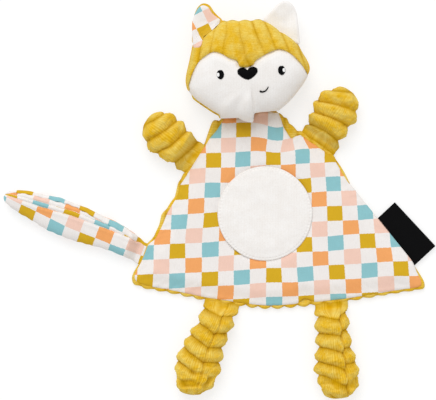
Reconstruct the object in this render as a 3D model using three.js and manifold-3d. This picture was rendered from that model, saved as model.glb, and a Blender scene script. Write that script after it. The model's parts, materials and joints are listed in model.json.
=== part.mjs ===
// A comfort blanket: a flat padded cloth body with a stuffed fox head, arms, legs and tail, lying face up.
// Lengths are millimetres. X runs to its right side in the view from above, Y to the head, Z up.
// The origin lies on the floor under the middle of the round belly patch.
import * as THREE from "three";
import { mergeVertices } from "three/addons/utils/BufferGeometryUtils.js";
import Module from "manifold-3d";

const wasm = await Module();
wasm.setup();

// Driving sizes of the whole toy.
const bodyWidth = 225;
const bodyHeight = 150;
const headWidth = 97;
const headHeight = 78;
const armLength = 45;
const legLength = 71;
const tailLength = 113;
const leftEarHeight = 20;
const rightEarHeight = 21;

// Thicknesses, measured up from the floor.
const backThickness = 3;
const waddingThickness = 3;
const frontThickness = 1;
const patchThickness = 1.2;
const armThickness = 20;
const legThickness = 19;
const tailThickness = 13;
const headSeamHeight = 16;
const faceCrown = 22;

// Clearances and the shallow cut that gives the stuffed pieces a flat place to lie on.
const clearance = 0.3;
const floorCut = 0.5;
const cutOverrun = 20;

// Jumbo corduroy plush.
const ribPitch = 10;
const backRibDepth = 1;
const ribCrestShare = 0.64;
const limbRibDepth = 1.6;
const limbCrestShares = [0.27, 0.73];
const headGrooveDepth = 0.9;
const headGrooveWidth = 1.6;
const headGrooveReachShare = 0.42;
const headGrooveEndShare = 0.985;
const headGrooveSegments = 10;
const plushWall = 3;
const seamWall = 1;

// Seams that work as hinges: half the pinched thickness, where the cloth turns.
const rootRadius = 1.3;
const hingeHeight = (backThickness + clearance + frontThickness) / 2;

// The printed front stops short of the plush back, and rises over the wadding inside.
const frontReveal = 2.3;
const hemWidth = 3;
const rampWidth = 6;
const bodyRounding = 10;

// Corners of the back panel, counter-clockwise from the right of the neck. Each row has the place in shares
// of bodyWidth and bodyHeight, the front's step back in shares of frontReveal, and the rounding in shares of
// bodyRounding.
const bodyShares = {
  neckRight: [0.064, 0.507, 2, 0.3],
  neckLeft: [-0.176, 0.475, 2, 0.3],
  leftShoulder: [-0.189, 0.423, 1.67, 0.5],
  leftArmTop: [-0.206, 0.352, 0.53, 0.15],
  leftArmFoot: [-0.269, 0.203, 0.53, 0.2],
  leftFlank: [-0.301, 0.119, 1, 1],
  leftWaist: [-0.351, -0.013, 0.8, 1],
  tailTop: [-0.4, -0.152, 0.5, 0.15],
  tailFoot: [-0.427, -0.261, 0.5, 0.15],
  leftCorner: [-0.453, -0.367, 0.8, 1],
  hemLeft: [-0.324, -0.4, 0.8, 1],
  leftLegOuter: [-0.206, -0.438, 0.8, 0.15],
  leftLegInner: [-0.084, -0.466, 0.8, 0.15],
  hemMiddle: [0.01, -0.484, 0.8, 1],
  rightLegInner: [0.166, -0.464, 0.8, 0.15],
  rightLegOuter: [0.284, -0.443, 0.8, 0.15],
  hemRight: [0.382, -0.418, 0.8, 1],
  rightCorner: [0.542, -0.38, 0.8, 0.5],
  labelFoot: [0.507, -0.256, 0.4, 0.15],
  labelTop: [0.38, -0.02, 0.4, 0.15],
  rightFlank: [0.297, 0.132, 0.5, 1],
  rightArmFoot: [0.235, 0.294, 0.6, 0.2],
  rightArmTop: [0.122, 0.418, 1.2, 0.15],
  rightShoulder: [0.084, 0.474, 1.67, 0.5],
};

// The round patch on the belly, over the origin.
const patchRadius = 36;
const patchSegments = 48;

// Corners of the head's outline in its own frame, counter-clockwise from the chin, in shares of headWidth
// and headHeight, with their rounding in shares of headRounding. The ears sit on the two long straight edges.
const headRounding = 12;
const headShares = {
  chin: [-0.005, -0.078, 0.7],
  chinRight: [0.151, -0.036, 1],
  jawRight: [0.273, 0.024, 1],
  cheekLowRight: [0.401, 0.167, 1],
  cheekRight: [0.512, 0.34, 0.8],
  cheekTopRight: [0.507, 0.439, 0.8],
  templeRight: [0.467, 0.541, 0.6],
  rightEarOuter: [0.442, 0.641, 0.2],
  rightEarInner: [0.186, 0.904, 0.2],
  crown: [0.029, 0.911, 1],
  leftEarInner: [-0.143, 0.93, 0.2],
  leftEarOuter: [-0.377, 0.74, 0.2],
  templeLeft: [-0.41, 0.607, 0.6],
  cheekTopLeft: [-0.442, 0.483, 1],
  cheekLeft: [-0.468, 0.388, 0.8],
  cheekLowLeft: [-0.447, 0.239, 1],
  jawLeft: [-0.356, 0.141, 1],
  chinLeft: [-0.201, -0.012, 1],
};
const headCentreShares = [0.02, 0.42];
const faceBulge = 2.3;
const napeBulge = 3;
const headRingShares = [0.38, 0.66, 0.86, 0.96, 1];

// The chin overhangs the neck: how high its underside stands at the seam and out at its tip.
const chinReach = 9;
const chinSeamHeight = 9.5;
const chinTipHeight = 13;
const neckStep = 2.4;
const neckTongue = 5;
const neckSeatShare = 0.86;

// The pale face's edge from its right end over both lobes to its left end, in shares of headWidth and
// headHeight, and the far corners that close it round the chin.
const maskRounding = 5;
const maskShares = [
  [0.65, 0.2],
  [0.485, 0.353],
  [0.434, 0.483],
  [0.376, 0.561],
  [0.298, 0.609],
  [0.219, 0.592],
  [0.145, 0.552],
  [0.099, 0.513],
  [0.048, 0.464],
  [-0.014, 0.471],
  [-0.053, 0.529],
  [-0.113, 0.57],
  [-0.173, 0.62],
  [-0.234, 0.642],
  [-0.308, 0.601],
  [-0.362, 0.543],
  [-0.412, 0.444],
  [-0.65, 0.25],
  [-0.65, -0.3],
  [0.65, -0.3],
];

// Embroidered features, placed in shares of headWidth and headHeight.
const threadThickness = 0.8;
const eyeWidth = 5.7;
const eyeHeight = 6.9;
const leftEyeShares = [-0.189, 0.414];
const rightEyeShares = [0.293, 0.403];
const highlightWidth = 1.8;
const highlightHeight = 3;
const highlightOffsetShare = 0.3;
const noseWidth = 15.4;
const noseHeight = 9.6;
const noseRounding = 2.5;
const noseCentreShares = [0.026, 0.403];
const noseShares = [
  [0, -0.5],
  [0.3, -0.16],
  [0.5, 0.14],
  [0.36, 0.48],
  [0.12, 0.46],
  [0, 0.26],
  [-0.12, 0.46],
  [-0.36, 0.48],
  [-0.5, 0.14],
  [-0.3, -0.16],
];
const smileThread = 1;
const smileSegments = 6;
const smileShares = [
  [0.106, 0.213],
  [0.13, 0.202],
  [0.163, 0.216],
  [0.19, 0.255],
];

// Ears: outlines outwards from their seats, in shares of the seat's length and the ear's height.
const earThickness = 4;
const earTipThickness = 2;
const earRounding = 4;
const earFullShare = 0.6;
const earOverrunShare = 1.1;
const rightEarShares = [
  [-0.5, -0.12],
  [0.5, -0.12],
  [0.48, 0.05],
  [0.26, 0.5],
  [0.03, 0.88],
  [-0.16, 1.02],
  [-0.34, 0.99],
  [-0.45, 0.72],
  [-0.48, 0.38],
];
const leftEarShares = rightEarShares.map(([x, y]) => [-x, y]).reverse();

// Limbs are tubes that swell from their flat seam. Each width row has the distance along the limb and the
// half width there in shares of the limb's length and of half its seat. lean moves the tip sideways, and bow
// the middle.
const swellLength = 13;
const limbSegments = 14;
const arms = {
  left: { from: "leftArmTop", to: "leftArmFoot", lean: 4.5, bow: 1 },
  right: { from: "rightArmFoot", to: "rightArmTop", lean: -4.5, bow: -1 },
};
const legs = {
  left: { from: "leftLegOuter", to: "leftLegInner", lean: 13.5, bow: 2 },
  right: { from: "rightLegInner", to: "rightLegOuter", lean: 2, bow: 1 },
};
const armWidthShares = [
  [0, 0.98],
  [0.3, 1.05],
  [0.62, 1.2],
  [1, 1.04],
];
const legWidthShares = [
  [0, 0.98],
  [0.3, 1.02],
  [0.67, 1.28],
  [1, 1.12],
];
const tailWidthShares = [
  [0, 0.98],
  [0.13, 1.18],
  [0.36, 1.49],
  [0.62, 1.6],
  [0.84, 1.4],
  [1, 1.1],
];
const armEndLength = 13;
const legEndLength = 15;
const tailEndLength = 26;
const tailLean = 4;
const tailBow = 3;
const tailSeamTurn = 0.62;

// A limb's section goes from a flat slot at the seam to an oval, and its end closes in a rounded curve.
const slotPower = 0.35;
const sectionPower = 0.9;
const endPower = 2.4;

// Where rings lie along a limb: in the seam as shares of rootRadius, in the swell as shares of swellLength,
// inside the cover as shares of what is left, along the tail as shares of its length, and before the tip as
// shares of the end's length.
const slotShares = [-0.9, -0.5, 0];
const swellShares = [0.5, 0.6, 0.75];
const insideShares = [0.5, 0.8, 1];
const tailRingShares = [0.2, 0.35, 0.5, 0.65, 0.78, 0.87, 0.94];
const tipShares = [0.12, 0.02];

// The ribbon at the side is folded in half, with both ends in the seam.
const ribbonReach = 19;
const ribbonThickness = 0.6;
const ribbonGap = 0.8;
const ribbonSeatShare = 0.97;

// Cloth and thread finishes.
const cloth = (colour, roughness) =>
  new THREE.MeshStandardMaterial({ color: colour, roughness, metalness: 0 });
const mustardPlush = cloth("#dba62a", 0.95);
const whiteVelour = cloth("#f1efec", 0.9);
const printedPlush = cloth("#ecdcc4", 0.9);
const whiteWadding = cloth("#f7f7f5", 0.98);
const blackThread = cloth("#141416", 0.55);
const whiteThread = cloth("#f8f8f6", 0.6);
const blackRibbon = cloth("#17171a", 0.6);

// Named rows of a table of shares, as the real places of their corners.
function cornersOf(shares, width, height) {
  return Object.values(shares).map(([x, y]) => new THREE.Vector2(x * width, y * height));
}

// Corners moved inwards, each along its bisector, so that every edge moves in by its own inset.
function insetCorners(corners, insetAt) {
  return corners.map((corner, i) => {
    const arriving = corner.clone().sub(corners.at(i - 1)).normalize();
    const leaving = corners[(i + 1) % corners.length].clone().sub(corner).normalize();
    const bisector = new THREE.Vector2(-arriving.y - leaving.y, arriving.x + leaving.x);
    return corner.clone().addScaledVector(bisector, (2 * insetAt(i)) / bisector.lengthSq());
  });
}

// Each corner becomes a short curve that keeps the middle of its edges straight.
function roundCorners(corners, roundingAt, keptShare = 0.45) {
  return corners.flatMap((corner, i) => {
    const toBefore = corners.at(i - 1).clone().sub(corner);
    const toAfter = corners[(i + 1) % corners.length].clone().sub(corner);
    const [start, end] = [toBefore, toAfter].map((edge) => {
      const cut = Math.min(roundingAt(i), keptShare * edge.length());
      return corner.clone().addScaledVector(edge.normalize(), cut);
    });
    return new THREE.QuadraticBezierCurve(start, corner, end).getPoints(2);
  });
}

// A closed surface through rings of points, with a flat cap or a pole at each end.
function skin(rings, startPole, endPole) {
  const sides = rings[0].length;
  const points = rings.flat();
  const faces = [];
  for (let i = 0; i + 1 < rings.length; i++)
    for (let j = 0; j < sides; j++) {
      const a = i * sides + j;
      const b = i * sides + ((j + 1) % sides);
      faces.push(a, b, b + sides, a, b + sides, a + sides);
    }
  const last = (rings.length - 1) * sides;
  faces.push(...endFaces(rings[0], 0, startPole, points, true));
  faces.push(...endFaces(rings.at(-1), last, endPole, points, false));
  const geometry = new THREE.BufferGeometry().setFromPoints(points);
  geometry.setIndex(faces);
  return geometry;
}

// The faces that close one end: a fan to the pole, or the ring's own flat area.
function endFaces(ring, first, pole, points, reversed) {
  const faces = [];
  const add = (a, b, c) => faces.push(...(reversed ? [a, c, b] : [a, b, c]));
  if (pole) {
    points.push(pole);
    ring.forEach((_, j) => add(first + j, first + ((j + 1) % ring.length), points.length - 1));
    return faces;
  }
  const size = new THREE.Box3().setFromPoints(ring).getSize(new THREE.Vector3());
  const thin = Math.min(size.x, size.y, size.z);
  const flat = (p) => {
    if (size.z === thin) return new THREE.Vector2(p.x, p.y);
    return size.y === thin ? new THREE.Vector2(p.x, p.z) : new THREE.Vector2(p.y, p.z);
  };
  const contour = ring.map(flat);
  const turn = Math.sign(THREE.ShapeUtils.area(contour));
  for (const [a, b, c] of THREE.ShapeUtils.triangulateShape(contour, [])) {
    const same = Math.sign(THREE.ShapeUtils.area([contour[a], contour[b], contour[c]])) === turn;
    if (same) add(first + a, first + b, first + c);
    else add(first + a, first + c, first + b);
  }
  return faces;
}

// A closed geometry as a solid for joining and cutting, facing outwards.
function solid(geometry) {
  const bare = geometry.clone();
  bare.deleteAttribute("normal");
  bare.deleteAttribute("uv");
  const merged = mergeVertices(bare);
  const triVerts = new Uint32Array(merged.index.array);
  const make = () =>
    new wasm.Manifold(
      new wasm.Mesh({ numProp: 3, vertProperties: merged.attributes.position.array, triVerts }),
    );
  const made = make();
  if (made.volume() > 0) return made;
  for (let i = 0; i < triVerts.length; i += 3)
    [triVerts[i + 1], triVerts[i + 2]] = [triVerts[i + 2], triVerts[i + 1]];
  return make();
}

// A solid as a named mesh.
function mesh(name, shape, material) {
  const { vertProperties, triVerts } = shape.getMesh();
  const geometry = new THREE.BufferGeometry();
  geometry.setAttribute("position", new THREE.BufferAttribute(vertProperties, 3));
  geometry.setIndex(new THREE.BufferAttribute(triVerts, 1));
  geometry.computeVertexNormals();
  const made = new THREE.Mesh(geometry, material);
  made.name = name;
  return made;
}

// An upright prism over an outline, from one height to another.
function prism(outline, low, high) {
  const geometry = new THREE.ExtrudeGeometry(new THREE.Shape(outline), {
    depth: high - low,
    bevelEnabled: false,
  });
  return solid(geometry.translate(0, 0, low));
}

// A profile drawn in Y and Z, carried along X for a length about a middle.
function bar(profile, length, middle = 0) {
  const geometry = new THREE.ExtrudeGeometry(new THREE.Shape(profile), {
    depth: length,
    bevelEnabled: false,
  });
  geometry.translate(0, 0, middle - length / 2);
  const axes = new THREE.Matrix4().makeBasis(
    new THREE.Vector3(0, 1, 0),
    new THREE.Vector3(0, 0, 1),
    new THREE.Vector3(1, 0, 0),
  );
  return solid(geometry.applyMatrix4(axes));
}

const at = (outline, z) => outline.map((p) => new THREE.Vector3(p.x, p.y, z));
const points = (pairs) => pairs.map(([x, y]) => new THREE.Vector2(x, y));

// The group of a hinged piece on the edge between two named corners: its X axis is the hinge, Y points away.
function hingeGroup(name, corners, shares, from, to, reach, height) {
  const names = Object.keys(shares);
  const start = corners[names.indexOf(from)];
  const end = corners[names.indexOf(to)];
  const edge = end.clone().sub(start);
  const outwards = new THREE.Vector2(edge.y, -edge.x).normalize();
  const place = start.clone().add(end).multiplyScalar(0.5).addScaledVector(outwards, reach);
  const group = new THREE.Group();
  group.name = name;
  group.position.set(place.x, place.y, height);
  group.rotation.z = outwards.angle() - Math.PI / 2;
  group.userData.seatLength = edge.length();
  return group;
}

// The body: plush back, thin wadding, printed front and belly patch.
const bodyCorners = cornersOf(bodyShares, bodyWidth, bodyHeight);
const bodyRows = Object.values(bodyShares);

function bodyOutline(inset, revealed) {
  const insetAt = (i) => inset + (revealed ? frontReveal * bodyRows[i][2] : 0);
  const roundingAt = (i) => bodyRounding * bodyRows[i][3];
  return roundCorners(insetCorners(bodyCorners, insetAt), roundingAt);
}

function ribbedBack() {
  const ribs = Math.ceil(bodyWidth / ribPitch);
  const section = [new THREE.Vector2(-ribs * ribPitch, backThickness)];
  for (let k = -ribs; k <= ribs; k++) {
    section.push(new THREE.Vector2((k - 1 / 2) * ribPitch, backRibDepth));
    section.push(new THREE.Vector2((k - ribCrestShare / 2) * ribPitch, 0));
    section.push(new THREE.Vector2((k + ribCrestShare / 2) * ribPitch, 0));
  }
  section[0].x = section[1].x;
  section.push(new THREE.Vector2((ribs + 1 / 2) * ribPitch, backRibDepth));
  section.push(new THREE.Vector2((ribs + 1 / 2) * ribPitch, backThickness));
  const geometry = new THREE.ExtrudeGeometry(new THREE.Shape(section), {
    depth: 2 * bodyHeight,
    bevelEnabled: false,
  });
  geometry.translate(0, 0, -bodyHeight);
  geometry.rotateX(Math.PI / 2);
  const column = prism(bodyOutline(0, false), -cutOverrun, backThickness + cutOverrun);
  return solid(geometry).intersect(column);
}

const frontFloor = backThickness + clearance;
const waddingTop = frontFloor + waddingThickness;
const plateauTop = waddingTop + clearance + frontThickness;
const plateauInset = hemWidth + rampWidth;

function wadding() {
  const foot = bodyOutline(plateauInset, true);
  const top = bodyOutline(plateauInset + waddingThickness / 2, true);
  return solid(skin([at(foot, frontFloor), at(top, waddingTop)]));
}

function printedFront() {
  const rings = [
    at(bodyOutline(plateauInset, true), plateauTop - frontThickness),
    at(bodyOutline(hemWidth, true), frontFloor),
    at(bodyOutline(0, true), frontFloor),
    at(bodyOutline(0, true), frontFloor + frontThickness),
    at(bodyOutline(hemWidth, true), frontFloor + frontThickness),
    at(bodyOutline(plateauInset, true), plateauTop),
  ];
  return solid(skin(rings));
}

function bellyPatch() {
  const low = plateauTop + clearance;
  const profile = points([
    [0, low],
    [patchRadius, low],
    [patchRadius, low + patchThickness / 2],
    [patchRadius - patchThickness / 2, low + patchThickness],
    [0, low + patchThickness],
  ]);
  return solid(new THREE.LatheGeometry(profile, patchSegments).rotateX(Math.PI / 2));
}

// Limbs and tail. Along a limb, Y runs from its hinge to its tip, and Z is measured from the hinge.
function shareAt(rows, share) {
  const next = rows.findIndex(([place]) => place >= share);
  if (next <= 0) return rows[Math.max(next, 0)][1];
  const [low, lowValue] = rows[next - 1];
  const [high, highValue] = rows[next];
  const t = (share - low) / (high - low);
  return lowValue + (highValue - lowValue) * t * t * (3 - 2 * t);
}

// One ring of a limb: a flat slot at its seam that swells to a rounded section further out.
function limbRing(limb, y, inset, grooved) {
  const share = y / limb.length;
  const swell = THREE.MathUtils.smoothstep(y, 2 * rootRadius, swellLength);
  const inEnd = (y - (limb.length - inset) + limb.endLength) / limb.endLength;
  const end = inEnd > 0 ? Math.pow(Math.max(1 - Math.pow(inEnd, endPower), 0), 1 / endPower) : 1;
  const nose = y < 0 ? Math.sqrt(Math.max(rootRadius ** 2 - y ** 2, 0)) : rootRadius;
  const top = THREE.MathUtils.lerp(nose, limb.thickness - hingeHeight, swell);
  const bottom = THREE.MathUtils.lerp(-nose, -hingeHeight - floorCut, swell);
  const groove = grooved ? limbRibDepth * swell : 0;
  const trimmed = inset * THREE.MathUtils.lerp(seamWall / plushWall, 1, swell) + groove;
  const width = shareAt(limb.widthShares, Math.min(share, 1)) * limb.seatLength;
  const halfWidth = (width / 2) * end - trimmed;
  const halfHeight = Math.max(((top - bottom) / 2) * end - trimmed, (nose * clearance) / rootRadius);
  const middle = (top + bottom) / 2;
  const centre = limb.lean * share + limb.bow * Math.sin(Math.PI * Math.min(share, 1));
  const power = THREE.MathUtils.lerp(slotPower, sectionPower, swell);
  const ring = [];
  for (let k = 0; k < limbSegments; k++) {
    const angle = (2 * Math.PI * (k + 1 / 2)) / limbSegments;
    const x = Math.sign(Math.cos(angle)) * Math.abs(Math.cos(angle)) ** power;
    const z = Math.sign(Math.sin(angle)) * Math.abs(Math.sin(angle)) ** power;
    const height = Math.max(middle + z * halfHeight, -hingeHeight);
    ring.push(new THREE.Vector3(centre - x * halfWidth, y, height));
  }
  return ring;
}

function limbTip(limb, inset) {
  const ring = limbRing(limb, limb.length - inset - tipShares.at(-1) * limb.endLength, inset, false);
  const middle = new THREE.Box3().setFromPoints(ring).getCenter(new THREE.Vector3());
  middle.y = limb.length - inset;
  return middle;
}

// Distances along the limb: the rounded seam, then a groove and a crest's two shoulders for each rib.
function limbStations(limb) {
  const stations = slotShares.map((share) => [share * rootRadius, false]);
  stations.push([2 * rootRadius, false], [swellShares[0] * swellLength, false]);
  const ribs = limb.ribbed ? Math.round(limb.length / ribPitch) : 0;
  const pitch = limb.length / Math.max(ribs, 1);
  for (let k = 1; k < ribs; k++) {
    stations.push([k * pitch, true]);
    stations.push([(k + limbCrestShares[0]) * pitch, false]);
    if (k + 1 < ribs) stations.push([(k + limbCrestShares[1]) * pitch, false]);
  }
  if (!limb.ribbed) {
    stations.push([swellShares[2] * swellLength, false], [swellLength, false]);
    for (const share of tailRingShares) stations.push([share * limb.length, false]);
  }
  for (const share of tipShares) stations.push([limb.length - share * limb.endLength, false]);
  return stations;
}

// Rings inside the cover, from first on, at places that the cover's inner wall and the stuffing share.
function limbInside(limb, inset, first) {
  const end = limb.length - plushWall;
  const straight = end - limb.endLength / 2 - swellLength;
  const stations = [2 * rootRadius, swellShares[1] * swellLength, swellLength];
  for (const share of insideShares) stations.push(swellLength + share * straight);
  stations.push(end - tipShares[0] * limb.endLength);
  return stations.filter((y) => y >= first).map((y) => limbRing(limb, y, inset, false));
}

function limbCover(limb) {
  const outer = limbStations(limb).map(([y, grooved]) => limbRing(limb, y, 0, grooved));
  const inner = limbInside(limb, plushWall, 2 * rootRadius);
  const slot = [0, slotShares[0] * rootRadius].map((y) => limbRing(limb, y, plushWall, false));
  const rings = [...inner.reverse(), ...slot, ...outer];
  return solid(skin(rings, limbTip(limb, plushWall), limbTip(limb, 0)));
}

function limbStuffing(limb) {
  const inset = plushWall + clearance;
  const rings = limbInside(limb, inset, swellShares[1] * swellLength).reverse();
  return solid(skin(rings, limbTip(limb, inset)));
}

function limbOn(side, place, kind) {
  const group = hingeGroup(
    side,
    bodyCorners,
    bodyShares,
    place.from,
    place.to,
    rootRadius + clearance,
    hingeHeight,
  );
  return [group, { ...kind, lean: place.lean, bow: place.bow, seatLength: group.userData.seatLength }];
}

function limbGroup(name, place, kind) {
  const [group, limb] = limbOn(name + "_swing", place, kind);
  group.add(mesh(name + "_cover", limbCover(limb), mustardPlush));
  group.add(mesh(name + "_stuffing", limbStuffing(limb), whiteWadding));
  return group;
}

// The tail's two printed panels meet along a seam that is turned towards its upper edge.
function tailGroup() {
  const [group, tail] = limbOn(
    "tail_swing",
    { from: "tailTop", to: "tailFoot", lean: tailLean, bow: tailBow },
    {
      length: tailLength,
      thickness: tailThickness,
      endLength: tailEndLength,
      widthShares: tailWidthShares,
      ribbed: false,
    },
  );
  const cover = limbCover(tail);
  const half = (side) => {
    const reach = tailLength + cutOverrun;
    const box = new THREE.BoxGeometry(2 * reach, 2 * reach, 2 * reach);
    box.translate(0, 0, side * (reach + clearance / 2));
    box.rotateY(-tailSeamTurn);
    box.translate(tailBow, 0, tailThickness / 2 - hingeHeight);
    return solid(box);
  };
  group.add(mesh("tail_front_panel", cover.intersect(half(1)), printedPlush));
  group.add(mesh("tail_back_panel", cover.intersect(half(-1)), printedPlush));
  group.add(mesh("tail_stuffing", limbStuffing(tail), whiteWadding));
  return group;
}

// The ribbon label, a folded strip with both ends in the body's side seam.
function labelGroup() {
  const half = ribbonThickness + ribbonGap / 2;
  const group = hingeGroup(
    "label_swing",
    bodyCorners,
    bodyShares,
    "labelFoot",
    "labelTop",
    Math.SQRT2 * half + clearance,
    hingeHeight,
  );
  const profile = points([
    [-half, half],
    [-half, ribbonGap / 2],
    [ribbonReach - ribbonThickness, ribbonGap / 2],
    [ribbonReach - ribbonThickness, -ribbonGap / 2],
    [-half, -ribbonGap / 2],
    [-half, -half],
    [ribbonReach - ribbonThickness, -half],
    [ribbonReach, -ribbonGap / 2],
    [ribbonReach, ribbonGap / 2],
    [ribbonReach - ribbonThickness, half],
  ]);
  group.add(mesh("side_label", bar(profile, ribbonSeatShare * group.userData.seatLength), blackRibbon));
  return group;
}

// The head, in its own frame: X along the neck seam, Y to the crown, Z up from the floor.
const headCorners = cornersOf(headShares, headWidth, headHeight);
const headRows = Object.values(headShares);
const headCentre = new THREE.Vector2(headCentreShares[0] * headWidth, headCentreShares[1] * headHeight);

function headOutline(grow) {
  const corners = insetCorners(headCorners, () => -grow);
  return roundCorners(corners, (i) => headRounding * headRows[i][2]);
}

// Height of a crown over its rim where s is the share of the way from the middle to the outline, straight
// between the rings.
function crown(s, power) {
  const exact = (share) => Math.pow(Math.max(1 - Math.pow(share, power), 0), 1 / power);
  const places = [0, ...headRingShares];
  const next = Math.max(places.findIndex((place) => place >= s), 1);
  const t = (s - places[next - 1]) / (places[next] - places[next - 1]);
  return THREE.MathUtils.lerp(exact(places[next - 1]), exact(places[next]), t);
}

// The stuffed head as a solid, grown or shrunk all round.
function headSolid(grow) {
  const outline = headOutline(grow);
  const ringAt = (s, z) =>
    outline.map((p) => new THREE.Vector3(...headCentre.clone().lerp(p, s).toArray(), z));
  const nape = (s) => Math.max(headSeamHeight - (headSeamHeight + floorCut + grow) * crown(s, napeBulge), 0);
  const face = (s) => headSeamHeight + (faceCrown + grow) * crown(s, faceBulge);
  const below = headRingShares.map((s) => ringAt(s, nape(s)));
  const above = headRingShares
    .slice(0, -1)
    .map((s) => ringAt(s, face(s)))
    .reverse();
  const pole = (z) => new THREE.Vector3(headCentre.x, headCentre.y, z);
  return solid(skin([...below, ...above], pole(nape(0)), pole(face(0))));
}

// The space under the chin where the neck of the body lies, grown for the layers inside.
function neckSpace(grow) {
  const far = -chinReach - cutOverrun;
  const tipHeight = chinTipHeight + grow;
  const profile = points([
    [far, -cutOverrun],
    [neckStep + grow, -cutOverrun],
    [neckStep + grow, chinSeamHeight + grow],
    [-chinReach, tipHeight],
    [far, tipHeight],
  ]);
  return bar(profile, 2 * headWidth);
}

// The plush that goes down into the neck seam and turns there.
function neckTab(length) {
  const low = hingeHeight - rootRadius;
  const high = hingeHeight + rootRadius;
  const profile = points([
    [neckTongue + neckStep, low],
    [neckTongue + neckStep, high],
    [0, high],
    [-rootRadius * Math.SQRT1_2, hingeHeight + rootRadius * Math.SQRT1_2],
    [-rootRadius, hingeHeight],
    [-rootRadius * Math.SQRT1_2, hingeHeight - rootRadius * Math.SQRT1_2],
    [0, low],
  ]);
  return bar(profile, length);
}

// Everything above or below a height.
function slab(low, high) {
  const box = new THREE.BoxGeometry(3 * headWidth, 3 * headHeight, high - low);
  return solid(box.translate(headCentre.x, headCentre.y, (low + high) / 2));
}

// How far a point lies from the middle of the head towards its outline, from 0 to 1.
function headShareAt(x, y) {
  const ray = new THREE.Vector2(x, y).sub(headCentre);
  const outline = headOutline(0);
  let reach = 0;
  outline.forEach((p, i) => {
    const a = p.clone().sub(headCentre);
    const edge = outline[(i + 1) % outline.length].clone().sub(p);
    const turn = ray.cross(edge);
    if (turn === 0) return;
    const along = a.cross(edge) / turn;
    const on = a.cross(ray) / turn;
    if (along > 0 && on >= 0 && on <= 1) reach = Math.max(reach, along);
  });
  return reach > 0 ? 1 / reach : 0;
}

// A cut that parts two ribs of the head's plush, following the crown at one X.
function ribGroove(x, side) {
  const depthAt = (s) =>
    side > 0
      ? headSeamHeight + faceCrown * crown(s, faceBulge) - headGrooveDepth
      : headSeamHeight - (headSeamHeight + floorCut) * crown(s, napeBulge) + headGrooveDepth;
  const profile = [];
  for (let k = 0; k <= headGrooveSegments; k++) {
    const y = headCentre.y + headHeight * (k / headGrooveSegments - 1 / 2);
    const s = headShareAt(x, y);
    if (s < headGrooveEndShare) profile.push(new THREE.Vector2(y, depthAt(s)));
  }
  const far = side > 0 ? headSeamHeight + faceCrown + cutOverrun : -cutOverrun;
  profile.push(new THREE.Vector2(profile.at(-1).x, far), new THREE.Vector2(profile[0].x, far));
  return bar(profile, headGrooveWidth, x);
}

function grooved(shape, side) {
  const reach = Math.floor((headGrooveReachShare * headWidth) / ribPitch);
  let cut = shape;
  for (let k = -reach; k <= reach; k++) cut = cut.subtract(ribGroove((k + 1 / 2) * ribPitch, side));
  return cut;
}

// A flat embroidered shape laid on the face, between two heights over the cloth.
function stitched(outline, low, thickness) {
  const column = prism(outline, headSeamHeight, headSeamHeight + faceCrown + cutOverrun);
  return column.intersect(headSolid(low + thickness)).subtract(headSolid(low));
}

function oval(centreShares, offset, width, height, sides) {
  const middle = new THREE.Vector2(centreShares[0] * headWidth + offset, centreShares[1] * headHeight);
  return new THREE.EllipseCurve(middle.x, middle.y, width / 2, height / 2).getPoints(sides).slice(1);
}

function noseOutline() {
  const corners = noseShares.map(
    ([x, y]) =>
      new THREE.Vector2(
        noseCentreShares[0] * headWidth + x * noseWidth,
        noseCentreShares[1] * headHeight + y * noseHeight,
      ),
  );
  return roundCorners(corners, () => noseRounding);
}

function smileOutline() {
  const places = smileShares.map(([x, y]) => new THREE.Vector2(x * headWidth, y * headHeight));
  const line = new THREE.SplineCurve(places);
  const side = (offset) =>
    Array.from({ length: smileSegments + 1 }, (_, k) => {
      const along = line.getTangent(k / smileSegments);
      const across = new THREE.Vector2(along.y, -along.x);
      return line.getPoint(k / smileSegments).addScaledVector(across, offset);
    });
  return [...side(smileThread / 2), ...side(-smileThread / 2).reverse()];
}

// An ear on its seat: two layers of cloth that turn together at the head's seam.
function earGroup(name, ends, shares, height, frontMaterial, backMaterial) {
  const half = earThickness / 2;
  const group = hingeGroup(
    name + "_fold",
    headCorners,
    headShares,
    ...ends,
    half + clearance,
    headSeamHeight,
  );
  const length = group.userData.seatLength - headRounding * headShares[ends[0]][2];
  const corners = shares.map(([x, y]) => new THREE.Vector2(x * length, y * height));
  const outline = roundCorners(corners, () => earRounding);
  const edge = earTipThickness / 2;
  const profile = (side) =>
    points([
      [-half, (side * clearance) / 2],
      [-half * Math.SQRT1_2, side * half * Math.SQRT1_2],
      [0, side * half],
      [earFullShare * height, side * half],
      [earOverrunShare * height, side * edge],
      [earOverrunShare * height, (side * clearance) / 2],
    ]);
  const column = prism(outline, -earThickness, earThickness);
  const layer = (side) => column.intersect(bar(profile(side), 2 * length));
  group.add(mesh(name + "_front", layer(1), frontMaterial));
  group.add(mesh(name + "_back", layer(-1), backMaterial));
  return group;
}

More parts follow.
